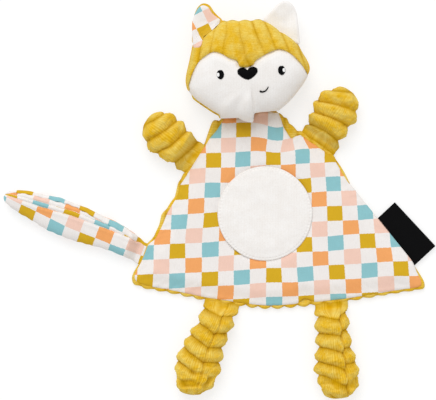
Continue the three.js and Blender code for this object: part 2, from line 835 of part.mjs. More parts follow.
function headGroup() {
  const group = hingeGroup(
    "neck_nod",
    bodyCorners,
    bodyShares,
    "neckRight",
    "neckLeft",
    rootRadius + clearance,
    0,
  );
  const shell = headSolid(0)
    .subtract(neckSpace(0))
    .subtract(headSolid(-plushWall).subtract(neckSpace(plushWall)));
  const topOfAll = headSeamHeight + faceCrown + cutOverrun;
  const front = shell.intersect(slab(headSeamHeight + clearance / 2, topOfAll));
  const back = shell.intersect(slab(-cutOverrun, headSeamHeight - clearance / 2));
  const maskCorners = maskShares.map(([x, y]) => new THREE.Vector2(x * headWidth, y * headHeight));
  const maskOutline = (grow) => roundCorners(insetCorners(maskCorners, () => -grow), () => maskRounding);
  const mask = prism(maskOutline(0), 0, topOfAll);
  const widerMask = prism(maskOutline(clearance), 0, topOfAll);
  const tab = neckTab(neckSeatShare * group.userData.seatLength);
  const stuffing = headSolid(-plushWall - clearance).subtract(neckSpace(plushWall + clearance));
  group.add(mesh("forehead_panel", grooved(front.subtract(widerMask), 1), mustardPlush));
  group.add(mesh("face_panel", front.intersect(mask), whiteVelour));
  group.add(mesh("head_back_panel", grooved(back, -1).add(tab), mustardPlush));
  group.add(mesh("head_stuffing", stuffing.subtract(neckTab(headWidth)), whiteWadding));
  const overThread = 2 * clearance + threadThickness;
  const eyes = { left: [leftEyeShares, -1], right: [rightEyeShares, 1] };
  for (const [side, [place, outwards]] of Object.entries(eyes)) {
    const eye = oval(place, 0, eyeWidth, eyeHeight, 24);
    group.add(mesh(side + "_eye", stitched(eye, clearance, threadThickness), blackThread));
    const offset = outwards * highlightOffsetShare * eyeWidth;
    const highlight = oval(place, offset, highlightWidth, highlightHeight, 12);
    const name = side + "_eye_highlight";
    group.add(mesh(name, stitched(highlight, overThread, threadThickness / 2), whiteThread));
  }
  group.add(mesh("nose", stitched(noseOutline(), clearance, threadThickness), blackThread));
  group.add(mesh("smile", stitched(smileOutline(), clearance, threadThickness / 2), blackThread));
  const leftEnds = ["leftEarInner", "leftEarOuter"];
  const rightEnds = ["rightEarOuter", "rightEarInner"];
  group.add(earGroup("left_ear", leftEnds, leftEarShares, leftEarHeight, printedPlush, mustardPlush));
  group.add(earGroup("right_ear", rightEnds, rightEarShares, rightEarHeight, whiteVelour, whiteVelour));
  return group;
}

// The whole toy.
const toy = new THREE.Group();
toy.add(mesh("body_back_panel", ribbedBack(), mustardPlush));
toy.add(mesh("body_wadding", wadding(), whiteWadding));
toy.add(mesh("body_front_panel", printedFront(), printedPlush));
toy.add(mesh("belly_patch", bellyPatch(), whiteVelour));
const armKind = {
  length: armLength,
  thickness: armThickness,
  endLength: armEndLength,
  widthShares: armWidthShares,
  ribbed: true,
};
const legKind = {
  length: legLength,
  thickness: legThickness,
  endLength: legEndLength,
  widthShares: legWidthShares,
  ribbed: true,
};
for (const side of ["left", "right"]) {
  toy.add(limbGroup(side + "_arm", arms[side], armKind));
  toy.add(limbGroup(side + "_leg", legs[side], legKind));
}
toy.add(tailGroup());
toy.add(labelGroup());
toy.add(headGroup());

export default toy;
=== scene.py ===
# %% [markdown]
# # A comfort blanket with a stuffed fox head
#
# The toy lies on its back and is seen from straight above. Its body is a thin padded cloth: a printed
# front, a ribbed plush back and a round velour patch. A stuffed head, two ears, two arms, two legs, a tail
# and a ribbon loop are sewn into its seams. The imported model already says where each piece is, how big it
# is and how it moves. This lesson gives every piece its soft shape and its cloth.
#
# All the cloth is made the same way: a shape is a function of two parameters, worked out with numpy for a
# whole grid of points at once, and wrapped into one closed skin. That suits sewn things, because seams,
# ribs and gathers are easy to write as small heights added to a smooth form.

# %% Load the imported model
import json
import math

import bpy
import numpy as np
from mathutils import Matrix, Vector


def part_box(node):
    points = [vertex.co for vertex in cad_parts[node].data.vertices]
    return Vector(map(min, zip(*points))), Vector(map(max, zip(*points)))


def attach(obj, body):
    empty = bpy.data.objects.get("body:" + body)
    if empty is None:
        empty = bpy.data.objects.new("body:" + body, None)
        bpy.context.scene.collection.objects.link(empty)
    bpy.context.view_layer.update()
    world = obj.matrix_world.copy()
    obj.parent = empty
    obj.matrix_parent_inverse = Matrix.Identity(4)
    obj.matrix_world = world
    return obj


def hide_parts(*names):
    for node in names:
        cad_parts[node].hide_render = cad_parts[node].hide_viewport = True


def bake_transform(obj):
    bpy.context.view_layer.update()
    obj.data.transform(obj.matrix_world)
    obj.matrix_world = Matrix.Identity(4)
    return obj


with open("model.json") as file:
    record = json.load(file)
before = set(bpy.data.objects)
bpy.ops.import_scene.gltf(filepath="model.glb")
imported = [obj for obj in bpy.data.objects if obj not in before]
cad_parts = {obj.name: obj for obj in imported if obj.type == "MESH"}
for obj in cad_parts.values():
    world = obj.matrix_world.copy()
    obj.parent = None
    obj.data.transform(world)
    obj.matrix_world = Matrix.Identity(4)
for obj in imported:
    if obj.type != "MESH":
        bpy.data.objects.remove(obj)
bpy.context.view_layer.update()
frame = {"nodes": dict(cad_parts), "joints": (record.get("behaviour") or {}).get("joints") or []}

mm = 0.001

# %% [markdown]
# ## Where the seams are
#
# Each moving piece turns about the seam that joins it to its neighbour. The frame gives the middle of that
# seam and its direction. A piece is easiest to shape when it is measured from its own seam: x along the
# seam, y away from the body, and z up from the floor. Lengths in this lesson are millimetres, and become
# metres only when a mesh is made.

# %% Seams as little frames of their own
upwards = np.array([0.0, 0.0, 1.0])


def seam_of(joint_name):
    """The middle of a seam, the direction along it and the direction away from what it is sewn to."""
    joint = next(j for j in frame["joints"] if j["name"] == joint_name)
    along = np.array(joint["axis"], float)
    return np.array(joint["pos_m"], float) / mm, along, np.cross(upwards, along)


def from_seam(seam, x, y, z):
    """Points x along a seam, y away from it and z over the floor, as points of the whole toy."""
    middle, along, away = seam
    x, y, z = np.broadcast_arrays(x, y, z)
    flat = middle[:2] + x[..., None] * along[:2] + y[..., None] * away[:2]
    return np.concatenate([flat, z[..., None]], axis=-1)


def to_seam(seam, x, y):
    """The reverse: how far points of the toy lie along a seam and away from it."""
    middle, along, away = seam
    dx, dy = x - middle[0], y - middle[1]
    return dx * along[0] + dy * along[1], dx * away[0] + dy * away[1]


neck = seam_of("neck_nod")
print("the neck seam is turned by", round(math.degrees(math.atan2(neck[1][1], neck[1][0])), 2), "degrees")

# %% [markdown]
# ## Small helpers for soft shapes
#
# Cloth needs a few curves again and again: a step with eased ends, a smooth curve through a few values, a
# soft floor that nothing sinks through, and the rolled edge of cloth that is turned in. These four are
# plain formulas.


# %% Eased steps and soft floors
def ease(x, low, high):
    """0 below low, 1 above high, and an S-shaped step between them."""
    t = np.clip((x - low) / (high - low), 0, 1)
    return t * t * (3 - 2 * t)


def curve_through(x, places, values):
    """A smooth curve through given values at given places: cubics whose slopes follow their neighbours."""
    places, values = np.array(places, float), np.array(values, float)
    slopes = np.gradient(values, places)
    k = np.clip(np.searchsorted(places, x) - 1, 0, len(places) - 2)
    width = places[k + 1] - places[k]
    t = np.clip((x - places[k]) / width, 0, 1)
    bend = (1 - t) * slopes[k] * width * t * (1 - t) - t * slopes[k + 1] * width * t * (1 - t)
    return values[k] + (values[k + 1] - values[k]) * ease(t, 0, 1) + bend


def soft_above(z, floor, softness=0.7):
    """z, but never under the floor: the two are joined by a hyperbola, as stuffing settles on a table."""
    return 0.5 * (z + floor + np.sqrt((z - floor) ** 2 + softness**2))


def roll(distance, width):
    """Height of a rolled edge: a quarter circle that rises from 0 at the edge to 1 at its width."""
    return np.sqrt(1 - (1 - np.clip(distance / width, 0, 1)) ** 2)


print("half way along, a step is at", ease(0.5, 0, 1), "and a rolled edge at", round(roll(0.5, 1), 2))

# %% [markdown]
# Sewn cloth is never quite even. Random heights stand on posts at the corners of a grid and are eased
# between them, which gives hills of a chosen size. Each use has its own fixed seed, so the toy comes out
# the same each time. A rib of corduroy is an arch between two narrow grooves, and a wave added to it rounds
# its crest.

# %% Random hills and corduroy ribs
posts_along = 64


def hills(x, y, size, seed, around=64):
    """Random hills from -1 to 1: heights at posts one size apart, eased between the posts, repeating in x
    after the number of posts in around."""
    posts = np.random.default_rng(seed).uniform(-1, 1, (around, posts_along))
    column, row = np.broadcast_arrays(x / size, y / size)
    i, j = np.floor(column).astype(int), np.floor(row).astype(int)
    s, t = ease(column - i, 0, 1), ease(row - j, 0, 1)
    i, j, next_i, next_j = i % around, j % posts_along, (i + 1) % around, (j + 1) % posts_along
    near = posts[i, j] * (1 - t) + posts[i, next_j] * t
    far = posts[next_i, j] * (1 - t) + posts[next_i, next_j] * t
    return near * (1 - s) + far * s


def hills_round(turn, y, lobes, length, seed):
    """Hills on a tube that close round it: so many posts round, and one post for each length along."""
    return hills(turn * lobes / (2 * math.pi), y / length, 1.0, seed, around=lobes)


def rib(phase):
    """Height of corduroy, 0 in the groove and 1 on the crest: an arch and a wave for each step of phase."""
    across = 2 * (phase - np.floor(phase)) - 1
    return 0.65 * (1 - np.abs(across) ** 2.2) ** 0.6 + 0.35 * (0.5 + 0.5 * np.cos(math.pi * across))


print("rib heights across half a rib:", np.round(rib(np.linspace(0, 0.5, 5)), 2))

# %% [markdown]
# ## One way to make a mesh
#
# Every piece of this toy is a bag: rings of points from one end to the other, with a pole that closes each
# end. A flat panel is a bag too, with its rings running out over the top to the rim and back underneath. So
# one function makes them all. Its faces are always the same: rows of quads between the rings, and a fan of
# triangles at each pole. Whether they point outwards is told by the sign of the volume that they enclose.


# %% The faces of a bag
def fan_and_quads(rows, sides):
    """Faces of one bag as rows of point numbers: quads between rings, then a triangle fan at each pole. The
    last value of each corner row says where its grain comes from, as (ring, step round)."""
    ring, step = (a.ravel() for a in np.meshgrid(np.arange(rows - 1), np.arange(sides), indexing="ij"))
    beside = (step + 1) % sides
    quads = np.stack([ring * sides + step, ring * sides + beside, (ring + 1) * sides + beside,
                      (ring + 1) * sides + step], axis=-1)
    quad_grain = np.stack([ring, step, ring, step + 1, ring + 1, step + 1, ring + 1, step], axis=-1)
    step = np.arange(sides)
    beside = (step + 1) % sides
    first, last, top = np.zeros(sides, int), np.full(sides, (rows - 1) * sides), np.full(sides, rows - 1)
    fans = np.concatenate([
        np.stack([beside, step, np.full(sides, rows * sides)], axis=-1),
        np.stack([last + step, last + beside, np.full(sides, rows * sides + 1)], axis=-1),
    ])
    fan_grain = np.concatenate([
        np.stack([first, step + 1, first, step, first, step], axis=-1),
        np.stack([top, step, top, step + 1, top, step], axis=-1),
    ])
    return quads, quad_grain.reshape(-1, 4, 2), fans, fan_grain.reshape(-1, 3, 2)


def volume(points, triangles):
    """The volume inside a closed mesh, negative where its faces point inwards."""
    a, b, c = (points[triangles[:, k]] for k in range(3))
    return float((a * np.cross(b, c)).sum() / 6)


print("3 rings of 8 points have", *(len(fan_and_quads(3, 8)[k]) for k in (0, 2)), "quads and triangles")

# %% [markdown]
# Blender keeps a mesh as a few long lists: the places of its points, the point at each corner of each face,
# and where each face starts. foreach_set fills such a list from a numpy array in one go. The grain of the
# cloth, its own two directions in millimetres, is stored as the UV map. Marks such as the height of the rib
# are stored as attributes of the points, and the finishes read them by name.


# %% Rings of points into a closed mesh
def bag(name, rings, poles, grain=None, **marks):
    """A closed mesh from rings of points in mm, shaped (rings, steps, 3) or (copies, rings, steps, 3), with
    its two poles. grain is (rings, steps + 1, 2) in mm, and otherwise the grain follows x and y. Each mark
    is a value for every point, which the cloth's finish can read."""
    rings, poles = np.asarray(rings, float), np.asarray(poles, float)
    if rings.ndim == 3:
        rings, poles = rings[None], poles[None]
    copies, rows, sides, _ = rings.shape
    points = np.concatenate([rings.reshape(copies, rows * sides, 3), poles], axis=1)
    quads, quad_grain, fans, fan_grain = fan_and_quads(rows, sides)
    triangles = np.concatenate([quads[:, :3], quads[:, [0, 2, 3]], fans])
    if volume(points[0], triangles) < 0:
        quads, quad_grain, fans, fan_grain = (a[:, ::-1] for a in (quads, quad_grain, fans, fan_grain))
    shift = np.arange(copies)[:, None, None] * (rows * sides + 2)
    corners = np.concatenate([(quads + shift).ravel(), (fans + shift).ravel()])
    sizes = np.repeat([4, 3], [copies * len(quads), copies * len(fans)])
    mesh = bpy.data.meshes.new(name)
    mesh.vertices.add(copies * (rows * sides + 2))
    mesh.vertices.foreach_set("co", (points * mm).astype(np.float32).ravel())
    mesh.loops.add(len(corners))
    mesh.loops.foreach_set("vertex_index", corners.astype(np.int32))
    mesh.polygons.add(len(sizes))
    mesh.polygons.foreach_set("loop_start", np.concatenate([[0], np.cumsum(sizes)[:-1]]).astype(np.int32))
    mesh.update(calc_edges=True)
    mesh.shade_smooth()
    if grain is None:
        uv = points[..., :2].reshape(-1, 2)[corners]
    else:
        picked = [np.tile(grain[g[..., 0], g[..., 1]].reshape(-1, 2), (copies, 1))
                  for g in (quad_grain, fan_grain)]
        uv = np.concatenate(picked)
    mesh.uv_layers.new(name="Grain").data.foreach_set("uv", uv.astype(np.float32).ravel())
    for mark, values in marks.items():
        add_mark(mesh, mark, np.asarray(values, float), copies)
    piece = bpy.data.objects.new(name, mesh)
    bpy.context.scene.collection.objects.link(piece)
    return piece


def add_mark(mesh, mark, values, copies):
    """Stores a value per point, one number or three, given for the rings; a pole takes its ring's mean."""
    wide = values.ndim == 3
    ends = np.stack([values[0].mean(axis=0), values[-1].mean(axis=0)])
    flat = np.concatenate([values.reshape(-1, 3) if wide else values.ravel(), ends])
    layer = mesh.attributes.new(mark, "FLOAT_VECTOR" if wide else "FLOAT", "POINT")
    layer.data.foreach_set("vector" if wide else "value", np.tile(flat.ravel(), copies).astype(np.float32))


print("meshes of the packed model, before the first bag:", len(bpy.data.meshes))

# %% [markdown]
# ## Feeling the outlines
#
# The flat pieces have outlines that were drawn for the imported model, and copying their numbers would only
# invite mistakes. Instead a finger comes in from outside at a given height, from every direction, and notes
# where it meets the piece. That gives the outline as a distance for each direction, which is just what a
# bag with rings round a middle needs. A little smoothing turns the drawn corners into sewn ones.

# %% Outlines as distances round a middle
steps_round = 480
turns = np.linspace(0, 2 * math.pi, steps_round, endpoint=False)
far_away = 400
bell_steps = 24


def felt_reach(nodes, middle, height):
    """Distance from a middle to the outside of CAD pieces at a height over the floor, in every
    direction."""
    found = np.zeros(len(turns))
    for k, turn in enumerate(turns):
        out = Vector((math.cos(turn), math.sin(turn), 0))
        centre = Vector((*middle[:2], height))
        for node in nodes:
            hit, place, _, _ = frame["nodes"][node].ray_cast((centre + out * far_away) * mm, -out)
            if hit:
                found[k] = max(found[k], (place / mm - centre).length)
    return found


def soften(reach, degrees):
    """A reach with its corners rounded: the mean of its neighbours, weighed by a bell of that width."""
    offsets = np.arange(-bell_steps, bell_steps + 1)
    bell = np.exp(-0.5 * (offsets * 360 / steps_round / degrees) ** 2)
    return sum(w * np.roll(reach, k) for k, w in zip(offsets, bell / bell.sum()))


def outline_of(reach, middle=(0, 0)):
    """The reach as points in x and y."""
    return np.stack([middle[0] + reach * np.cos(turns), middle[1] + reach * np.sin(turns)], axis=-1)


print("an outline is felt from", steps_round, "directions")

# %% [markdown]
# Some edges were looked at closer in the photograph. They are short lines of straight edges, and the same
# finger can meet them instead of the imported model. Other small differences are bumps on an outline. Once it
# is settled, an outline is spread inwards as rings, and says how far each point lies from the edge, where
# the seam holds the cloth down.


# %% Cutting outlines and spreading them
def reach_to(line, middle):
    """Distance from a middle to a line of straight edges in every direction, endless where it isn't met."""
    start, step = line[:-1] - middle, np.diff(line, axis=0)
    out_x, out_y = np.cos(turns)[:, None], np.sin(turns)[:, None]
    cross = out_x * step[:, 1] - out_y * step[:, 0]
    cross = np.where(np.abs(cross) < 1e-9, 1e-9, cross)
    on_ray = (start[:, 0] * step[:, 1] - start[:, 1] * step[:, 0]) / cross
    on_edge = (start[:, 0] * out_y - start[:, 1] * out_x) / cross
    met = (on_ray > 0) & (on_edge >= -1e-6) & (on_edge <= 1 + 1e-6)
    return np.where(met, on_ray, np.inf).min(axis=1)


def bulge(degrees, width, height):
    """A rounded bump on a reach, at a direction, width degrees wide."""
    off = (np.degrees(turns) - degrees + 180) % 360 - 180
    return height * np.exp(-((off / width) ** 2))


def spread(shares, reach, middle=(0, 0)):
    """Rings that are shares of the outline, round its middle, as arrays x and y."""
    outline = outline_of(reach)
    return middle[0] + np.outer(shares, outline[:, 0]), middle[1] + np.outer(shares, outline[:, 1])


def edge_distance(x, y, outline):
    """Shortest distance from points, given in rows, to a closed outline of straight edges."""
    step = np.roll(outline, -1, axis=0) - outline
    square = (step**2).sum(axis=1)

    def of_row(px, py):
        dx, dy = px[:, None] - outline[:, 0], py[:, None] - outline[:, 1]
        t = np.clip((dx * step[:, 0] + dy * step[:, 1]) / square, 0, 1)
        return np.hypot(dx - t * step[:, 0], dy - t * step[:, 1]).min(axis=1)

    return np.stack([of_row(px, py) for px, py in zip(x, y)])


def area_of(outline):
    """The area inside an outline, by the shoelace rule."""
    x, y = outline[:, 0], outline[:, 1]
    return abs(float((x * np.roll(y, -1) - y * np.roll(x, -1)).sum()) / 2)


print("a round outline of radius 1 has an area of", round(area_of(outline_of(np.ones(steps_round))), 3))

# %% [markdown]
# ## Wiring a finish
#
# A material is a small network of nodes. A few helpers keep that readable: they add a node and fill or link
# its sockets, do one step of arithmetic, mix two colours, and start a node group or a material. Colours are
# written as they look on a screen and turned into the linear values that a renderer adds up.


# %% Helpers for nodes and colours
def colour(text):
    """A screen colour such as "d2a51f" as linear red, green, blue and a full alpha."""
    parts = [int(text[k : k + 2], 16) / 255 for k in (0, 2, 4)]
    return (*[p / 12.92 if p <= 0.04045 else ((p + 0.055) / 1.055) ** 2.4 for p in parts], 1.0)


def add_node(tree, kind, inputs=None, **settings):
    """A new node. inputs gives its sockets a value, or a link when the value is another node's socket."""
    made = tree.nodes.new(kind)
    for key, value in settings.items():
        setattr(made, key, value)
    for key, value in (inputs or {}).items():
        if isinstance(value, bpy.types.NodeSocket):
            tree.links.new(value, made.inputs[key])
        else:
            made.inputs[key].default_value = value
    return made


def sum_node(tree, operation, a, b=0.0, c=0.0):
    """One step of arithmetic between sockets or numbers, as a socket."""
    return add_node(tree, "ShaderNodeMath", {0: a, 1: b, 2: c}, operation=operation).outputs[0]


def mix_node(tree, share, a, b, blend="MIX"):
    """Two colours mixed by a share, as a socket."""
    sockets = {"Factor": share, "A": a, "B": b}
    made = add_node(tree, "ShaderNodeMix", data_type="RGBA", blend_type=blend)
    for key, value in sockets.items():
        socket = next(s for s in made.inputs if s.name == key and s.enabled)
        if isinstance(value, bpy.types.NodeSocket):
            tree.links.new(value, socket)
        else:
            socket.default_value = value
    return next(s for s in made.outputs if s.enabled)


def new_group(name, inputs, outputs):
    """An empty shader node group with its sockets, and its input and output nodes."""
    tree = bpy.data.node_groups.new(name, "ShaderNodeTree")
    for label, kind, value in inputs:
        socket = tree.interface.new_socket(label, in_out="INPUT", socket_type=kind)
        if value is not None:
            socket.default_value = value
    for label, kind in outputs:
        tree.interface.new_socket(label, in_out="OUTPUT", socket_type=kind)
    return tree, tree.nodes.new("NodeGroupInput").outputs, tree.nodes.new("NodeGroupOutput").inputs


def new_material(name):
    """A material's tree with its shader, which is already joined to the output."""
    material = bpy.data.materials.new(name)
    material.use_nodes = True
    return material, material.node_tree, material.node_tree.nodes["Principled BSDF"]


print("half a screen's grey is", round(colour("808080")[0], 3), "of full light")

# %% [markdown]
# ## Pile
#
# Plush and velour are short fibres standing on a knitted ground. Up close they show three things: rows,
# because the fibres stand in lines across each rib, a fine fuzz, and larger patches where a hand has
# brushed the fibres one way or another. The rows follow the grain of the cloth, so they read the UV map,
# and the fuzz and patches read the piece's own coordinates, where a seam in the map can't show. A wave
# gives the rows their even pitch and noise breaks them up. A wave texture counts twenty radians to a unit,
# which the scale has to undo.

# %% The pile group
pile_group, given, result = new_group(
    "Pile",
    [("Grain", "NodeSocketVector", None), ("Place", "NodeSocketVector", None),
     ("Rows per mm", "NodeSocketFloat", 0.9), ("Fuzz per mm", "NodeSocketFloat", 1.6),
     ("Patches per mm", "NodeSocketFloat", 0.09), ("Row share", "NodeSocketFloat", 0.5)],
    [("Height", "NodeSocketFloat"), ("Patch", "NodeSocketFloat"), ("Tone", "NodeSocketFloat")],
)
stretched = add_node(pile_group, "ShaderNodeVectorMath", {0: given["Grain"], 1: (1.0, 0.16, 1.0)},
                     operation="MULTIPLY").outputs[0]
row_noise = add_node(pile_group, "ShaderNodeTexNoise",
                     {"Vector": stretched, "Scale": given["Rows per mm"], "Detail": 1.5, "Roughness": 0.5})
wave_scale = sum_node(pile_group, "MULTIPLY", given["Rows per mm"], 2 * math.pi / 20)
row_wave = add_node(pile_group, "ShaderNodeTexWave",
                    {"Vector": given["Grain"], "Scale": wave_scale, "Distortion": 1.2, "Detail": 1.0,
                     "Detail Scale": 0.6}, bands_direction="X")
in_mm = add_node(pile_group, "ShaderNodeVectorMath", {0: given["Place"], "Scale": 1 / mm},
                 operation="SCALE").outputs[0]
fuzz_noise = add_node(pile_group, "ShaderNodeTexNoise",
                      {"Vector": in_mm, "Scale": given["Fuzz per mm"], "Detail": 3.0, "Roughness": 0.65})
patch_noise = add_node(pile_group, "ShaderNodeTexNoise",
                       {"Vector": in_mm, "Scale": given["Patches per mm"], "Detail": 2.0, "Roughness": 0.55})
wave_part = sum_node(pile_group, "MULTIPLY_ADD", row_wave.outputs["Fac"], 0.3, 0.1)
both_rows = sum_node(pile_group, "MULTIPLY_ADD", row_noise.outputs[0], 0.5, wave_part)
rows_part = sum_node(pile_group, "MULTIPLY", both_rows, given["Row share"])
fuzz_share = sum_node(pile_group, "SUBTRACT", 1.0, given["Row share"])
height = sum_node(pile_group, "MULTIPLY_ADD", fuzz_noise.outputs[0], fuzz_share, rows_part)
pile_group.links.new(height, result["Height"])
patch = add_node(pile_group, "ShaderNodeMapRange",
                 {"Value": patch_noise.outputs[0], "From Min": 0.38, "From Max": 0.66}).outputs[0]
pile_group.links.new(patch, result["Patch"])
tone = add_node(pile_group, "ShaderNodeMapRange",
                {"Value": height, "From Min": 0.3, "From Max": 0.7}).outputs[0]
pile_group.links.new(tone, result["Tone"])
print("pile group sockets:", [s.name for s in pile_group.interface.items_tree])

# %% [markdown]
# ## The small checks
#
# The print is a plain nursery check: every second square is coloured, and the rows take turns between a
# mustard and teal pair and a pink and orange pair. Whole numbers make the choice, so the group only needs
# to know where a point lies, counted in squares. Each printed piece carries that count as a mark, so the
# squares follow the cloth wherever it bends.

# %% The check group
check_group, given, result = new_group(
    "Checks",
    [("Squares", "NodeSocketVector", None), ("Ground", "NodeSocketColor", colour("f6f3f1")),
     ("Mustard", "NodeSocketColor", colour("dcb228")), ("Teal", "NodeSocketColor", colour("92cad2")),
     ("Pink", "NodeSocketColor", colour("f8d3c3")), ("Orange", "NodeSocketColor", colour("f9ae6c"))],
    [("Color", "NodeSocketColor")],
)
counted = add_node(check_group, "ShaderNodeSeparateXYZ", {0: given["Squares"]}).outputs
column, row = (sum_node(check_group, "FLOOR", counted[k]) for k in (0, 1))
plain = sum_node(check_group, "FLOORED_MODULO", sum_node(check_group, "ADD", column, row), 2.0)
halves = [sum_node(check_group, "FLOOR", sum_node(check_group, "MULTIPLY", n, 0.5)) for n in (column, row)]
second = sum_node(check_group, "FLOORED_MODULO", sum_node(check_group, "ADD", *halves), 2.0)
soft_row = sum_node(check_group, "FLOORED_MODULO", row, 2.0)
strong_pair = mix_node(check_group, second, given["Mustard"], given["Teal"])
soft_pair = mix_node(check_group, second, given["Pink"], given["Orange"])
pair = mix_node(check_group, soft_row, strong_pair, soft_pair)
check_group.links.new(mix_node(check_group, plain, pair, given["Ground"]), result["Color"])
print("check group nodes:", len(check_group.nodes))

# %% [markdown]
# ## Corduroy plush
#
# The mustard plush is jumbo corduroy. Its colour is painted with shade: deeper in the grooves, read from
# the height of the rib, which is a mark on every point, and deeper wherever the fibres point at the eye. It
# is also painted with a sheen: a pale golden colour where the fibres are seen from the side, fading out in
# the grooves, and the same pale colour lies at random where they have been brushed over. The forehead has
# been brushed smooth, and its rows hardly show, so the plush comes twice. Sheen and roughness are the same
# all over a cloth, so they are set on the shader.


# %% Two kinds of plush
def pile_of(tree, **numbers):
    """The pile group in a material, reading this piece's grain and coordinates."""
    where = add_node(tree, "ShaderNodeTexCoord").outputs
    made = add_node(tree, "ShaderNodeGroup", node_tree=pile_group)
    tree.links.new(where["UV"], made.inputs["Grain"])
    tree.links.new(where["Object"], made.inputs["Place"])
    for key, value in numbers.items():
        made.inputs[key.replace("_", " ")].default_value = value
    return made.outputs


def raise_pile(tree, shader, height, depth, strength):
    """Turns the height of a pile, of strands or of a weave into bumps of a given depth in mm."""
    bump = add_node(tree, "ShaderNodeBump", {"Height": height, "Distance": depth * mm, "Strength": strength})
    tree.links.new(bump.outputs[0], shader.inputs["Normal"])


def soft_shader(shader, roughness, sheen, tint):
    """The settings that every cloth has, the same all over it."""
    shader.inputs["Roughness"].default_value = roughness
    shader.inputs["Specular IOR Level"].default_value = 0.08
    shader.inputs["Sheen Weight"].default_value = sheen
    shader.inputs["Sheen Roughness"].default_value = 0.45
    shader.inputs["Sheen Tint"].default_value = tint


# Shares of the painted sheen and the brushing: how much brushed patches and pile rows add, and the most it
# reaches.
brushed_over, frosting, most_sheen_and_brushing = 0.62, 0.22, 0.88


def plush_material(name, row_share):
    """Mustard jumbo corduroy, painted with shade and sheen: deeper in the grooves and where fibres point at
    the eye, pale where they are seen from the side."""
    material, tree, shader = new_material(name)
    pile = pile_of(tree, Rows_per_mm=0.78, Fuzz_per_mm=1.3, Patches_per_mm=0.13, Row_share=row_share)
    ribs = add_node(tree, "ShaderNodeAttribute", attribute_name="rib").outputs["Fac"]
    # Painted shade: the colour is darker in the grooves, where the rib mark is low.
    depth = add_node(tree, "ShaderNodeMapRange", {"Value": ribs, "From Min": 0.0, "From Max": 0.7}).outputs[0]
    body = mix_node(tree, depth, colour("ca9d00"), colour("edbd00"))
    # Painted sheen: Layer Weight makes the colour paler where the cloth is seen edge-on, and brushed patches
    # and pile rows add to it at random.
    facing = add_node(tree, "ShaderNodeLayerWeight", {"Blend": 0.3}).outputs["Facing"]
    sheen_and_brushed = sum_node(tree, "MULTIPLY_ADD", pile["Patch"], brushed_over, facing)
    sheen_brushed_and_frosted = sum_node(tree, "MULTIPLY_ADD", pile["Tone"], frosting, sheen_and_brushed)
    # The painted sheen fades out in the grooves, which is more painted shade.
    painted_sheen_and_brushing = sum_node(tree, "MULTIPLY", sum_node(tree, "MINIMUM", sheen_brushed_and_frosted, most_sheen_and_brushing), depth)
    with_sheen_and_brushing = mix_node(tree, painted_sheen_and_brushing, body, colour("f4dc78"))
    shade = mix_node(tree, 1.0, with_sheen_and_brushing, mix_node(tree, pile["Tone"], colour("e8dcae"), colour("ffffff")),
                     blend="MULTIPLY")
    tree.links.new(shade, shader.inputs["Base Color"])
    raise_pile(tree, shader, pile["Height"], 0.9, 0.65)
    soft_shader(shader, 0.95, 0.02, colour("ffd85a"))
    return material


plush = plush_material("mustard_corduroy_plush", row_share=0.72)
brushed_plush = plush_material("mustard_brushed_plush", row_share=0.35)
print("plush:", plush.name, "and", brushed_plush.name)

# %% [markdown]
# ## Velour, plain and printed
#
# The velour is off-white with hardly any colour of its own, so its softness comes from fine fuzz and sheen.
# The printed cloth is a smoother velour under the checks. Ink on pile has no sharp edge, so a fine noise
# shifts the count of squares by a few hundredths before the check group reads it.


# %% Velour and print
def velour_material():
    """Off-white velour: warm and cool greys a shade apart, and fine fuzz."""
    material, tree, shader = new_material("white_velour")
    pile = pile_of(tree, Rows_per_mm=0.5, Fuzz_per_mm=1.1, Patches_per_mm=0.12, Row_share=0.2)
    ground = mix_node(tree, pile["Patch"], colour("f6f3f0"), colour("f9f7f5"))
    shade = mix_node(tree, 1.0, ground, mix_node(tree, pile["Tone"], colour("f5f3f1"), colour("ffffff")),
                     blend="MULTIPLY")
    tree.links.new(shade, shader.inputs["Base Color"])
    raise_pile(tree, shader, pile["Height"], 0.4, 0.3)
    soft_shader(shader, 0.95, 0.2, colour("ffffff"))
    return material


def print_material():
    """Smooth velour under the check print. The edges of the squares waver by a fraction of a millimetre, as
    ink does on pile."""
    material, tree, shader = new_material("check_print_velour")
    pile = pile_of(tree, Rows_per_mm=1.2, Fuzz_per_mm=1.8, Patches_per_mm=0.15, Row_share=0.4)
    squares = add_node(tree, "ShaderNodeAttribute", attribute_name="squares").outputs["Vector"]
    where = add_node(tree, "ShaderNodeTexCoord").outputs["Object"]
    stray = add_node(tree, "ShaderNodeTexNoise",
                     {"Vector": where, "Scale": 0.9 / mm, "Detail": 1.0}).outputs["Color"]
    centred = add_node(tree, "ShaderNodeVectorMath", {0: stray, 1: (0.5, 0.5, 0.5)},
                       operation="SUBTRACT").outputs[0]
    wavered = add_node(tree, "ShaderNodeVectorMath", {0: centred, 1: (0.06, 0.06, 0.0), 2: squares},
                       operation="MULTIPLY_ADD").outputs[0]
    printed = add_node(tree, "ShaderNodeGroup", {"Squares": wavered}, node_tree=check_group).outputs["Color"]
    shade = mix_node(tree, 1.0, printed, mix_node(tree, pile["Tone"], colour("efebe8"), colour("ffffff")),
                     blend="MULTIPLY")
    tree.links.new(shade, shader.inputs["Base Color"])
    raise_pile(tree, shader, pile["Height"], 0.35, 0.35)
    soft_shader(shader, 0.9, 0.12, colour("ffffff"))
    return material


velour, printed_cloth = velour_material(), print_material()
print("velour:", velour.name, "and", printed_cloth.name)

# %% [markdown]
# ## Putting a piece in its place
#
# A finished piece gets its cloth and stands for its CAD nodes, and some pieces go with a body. A piece that
# is sewn into a seam has to bend there, its root staying with the body and the rest turning with the limb,
# but sewing on does not blend it: it only bakes the piece's place into its mesh.

# %% Dressing and sewing on
seam_allowance = 2.0
turned_after = 3.0


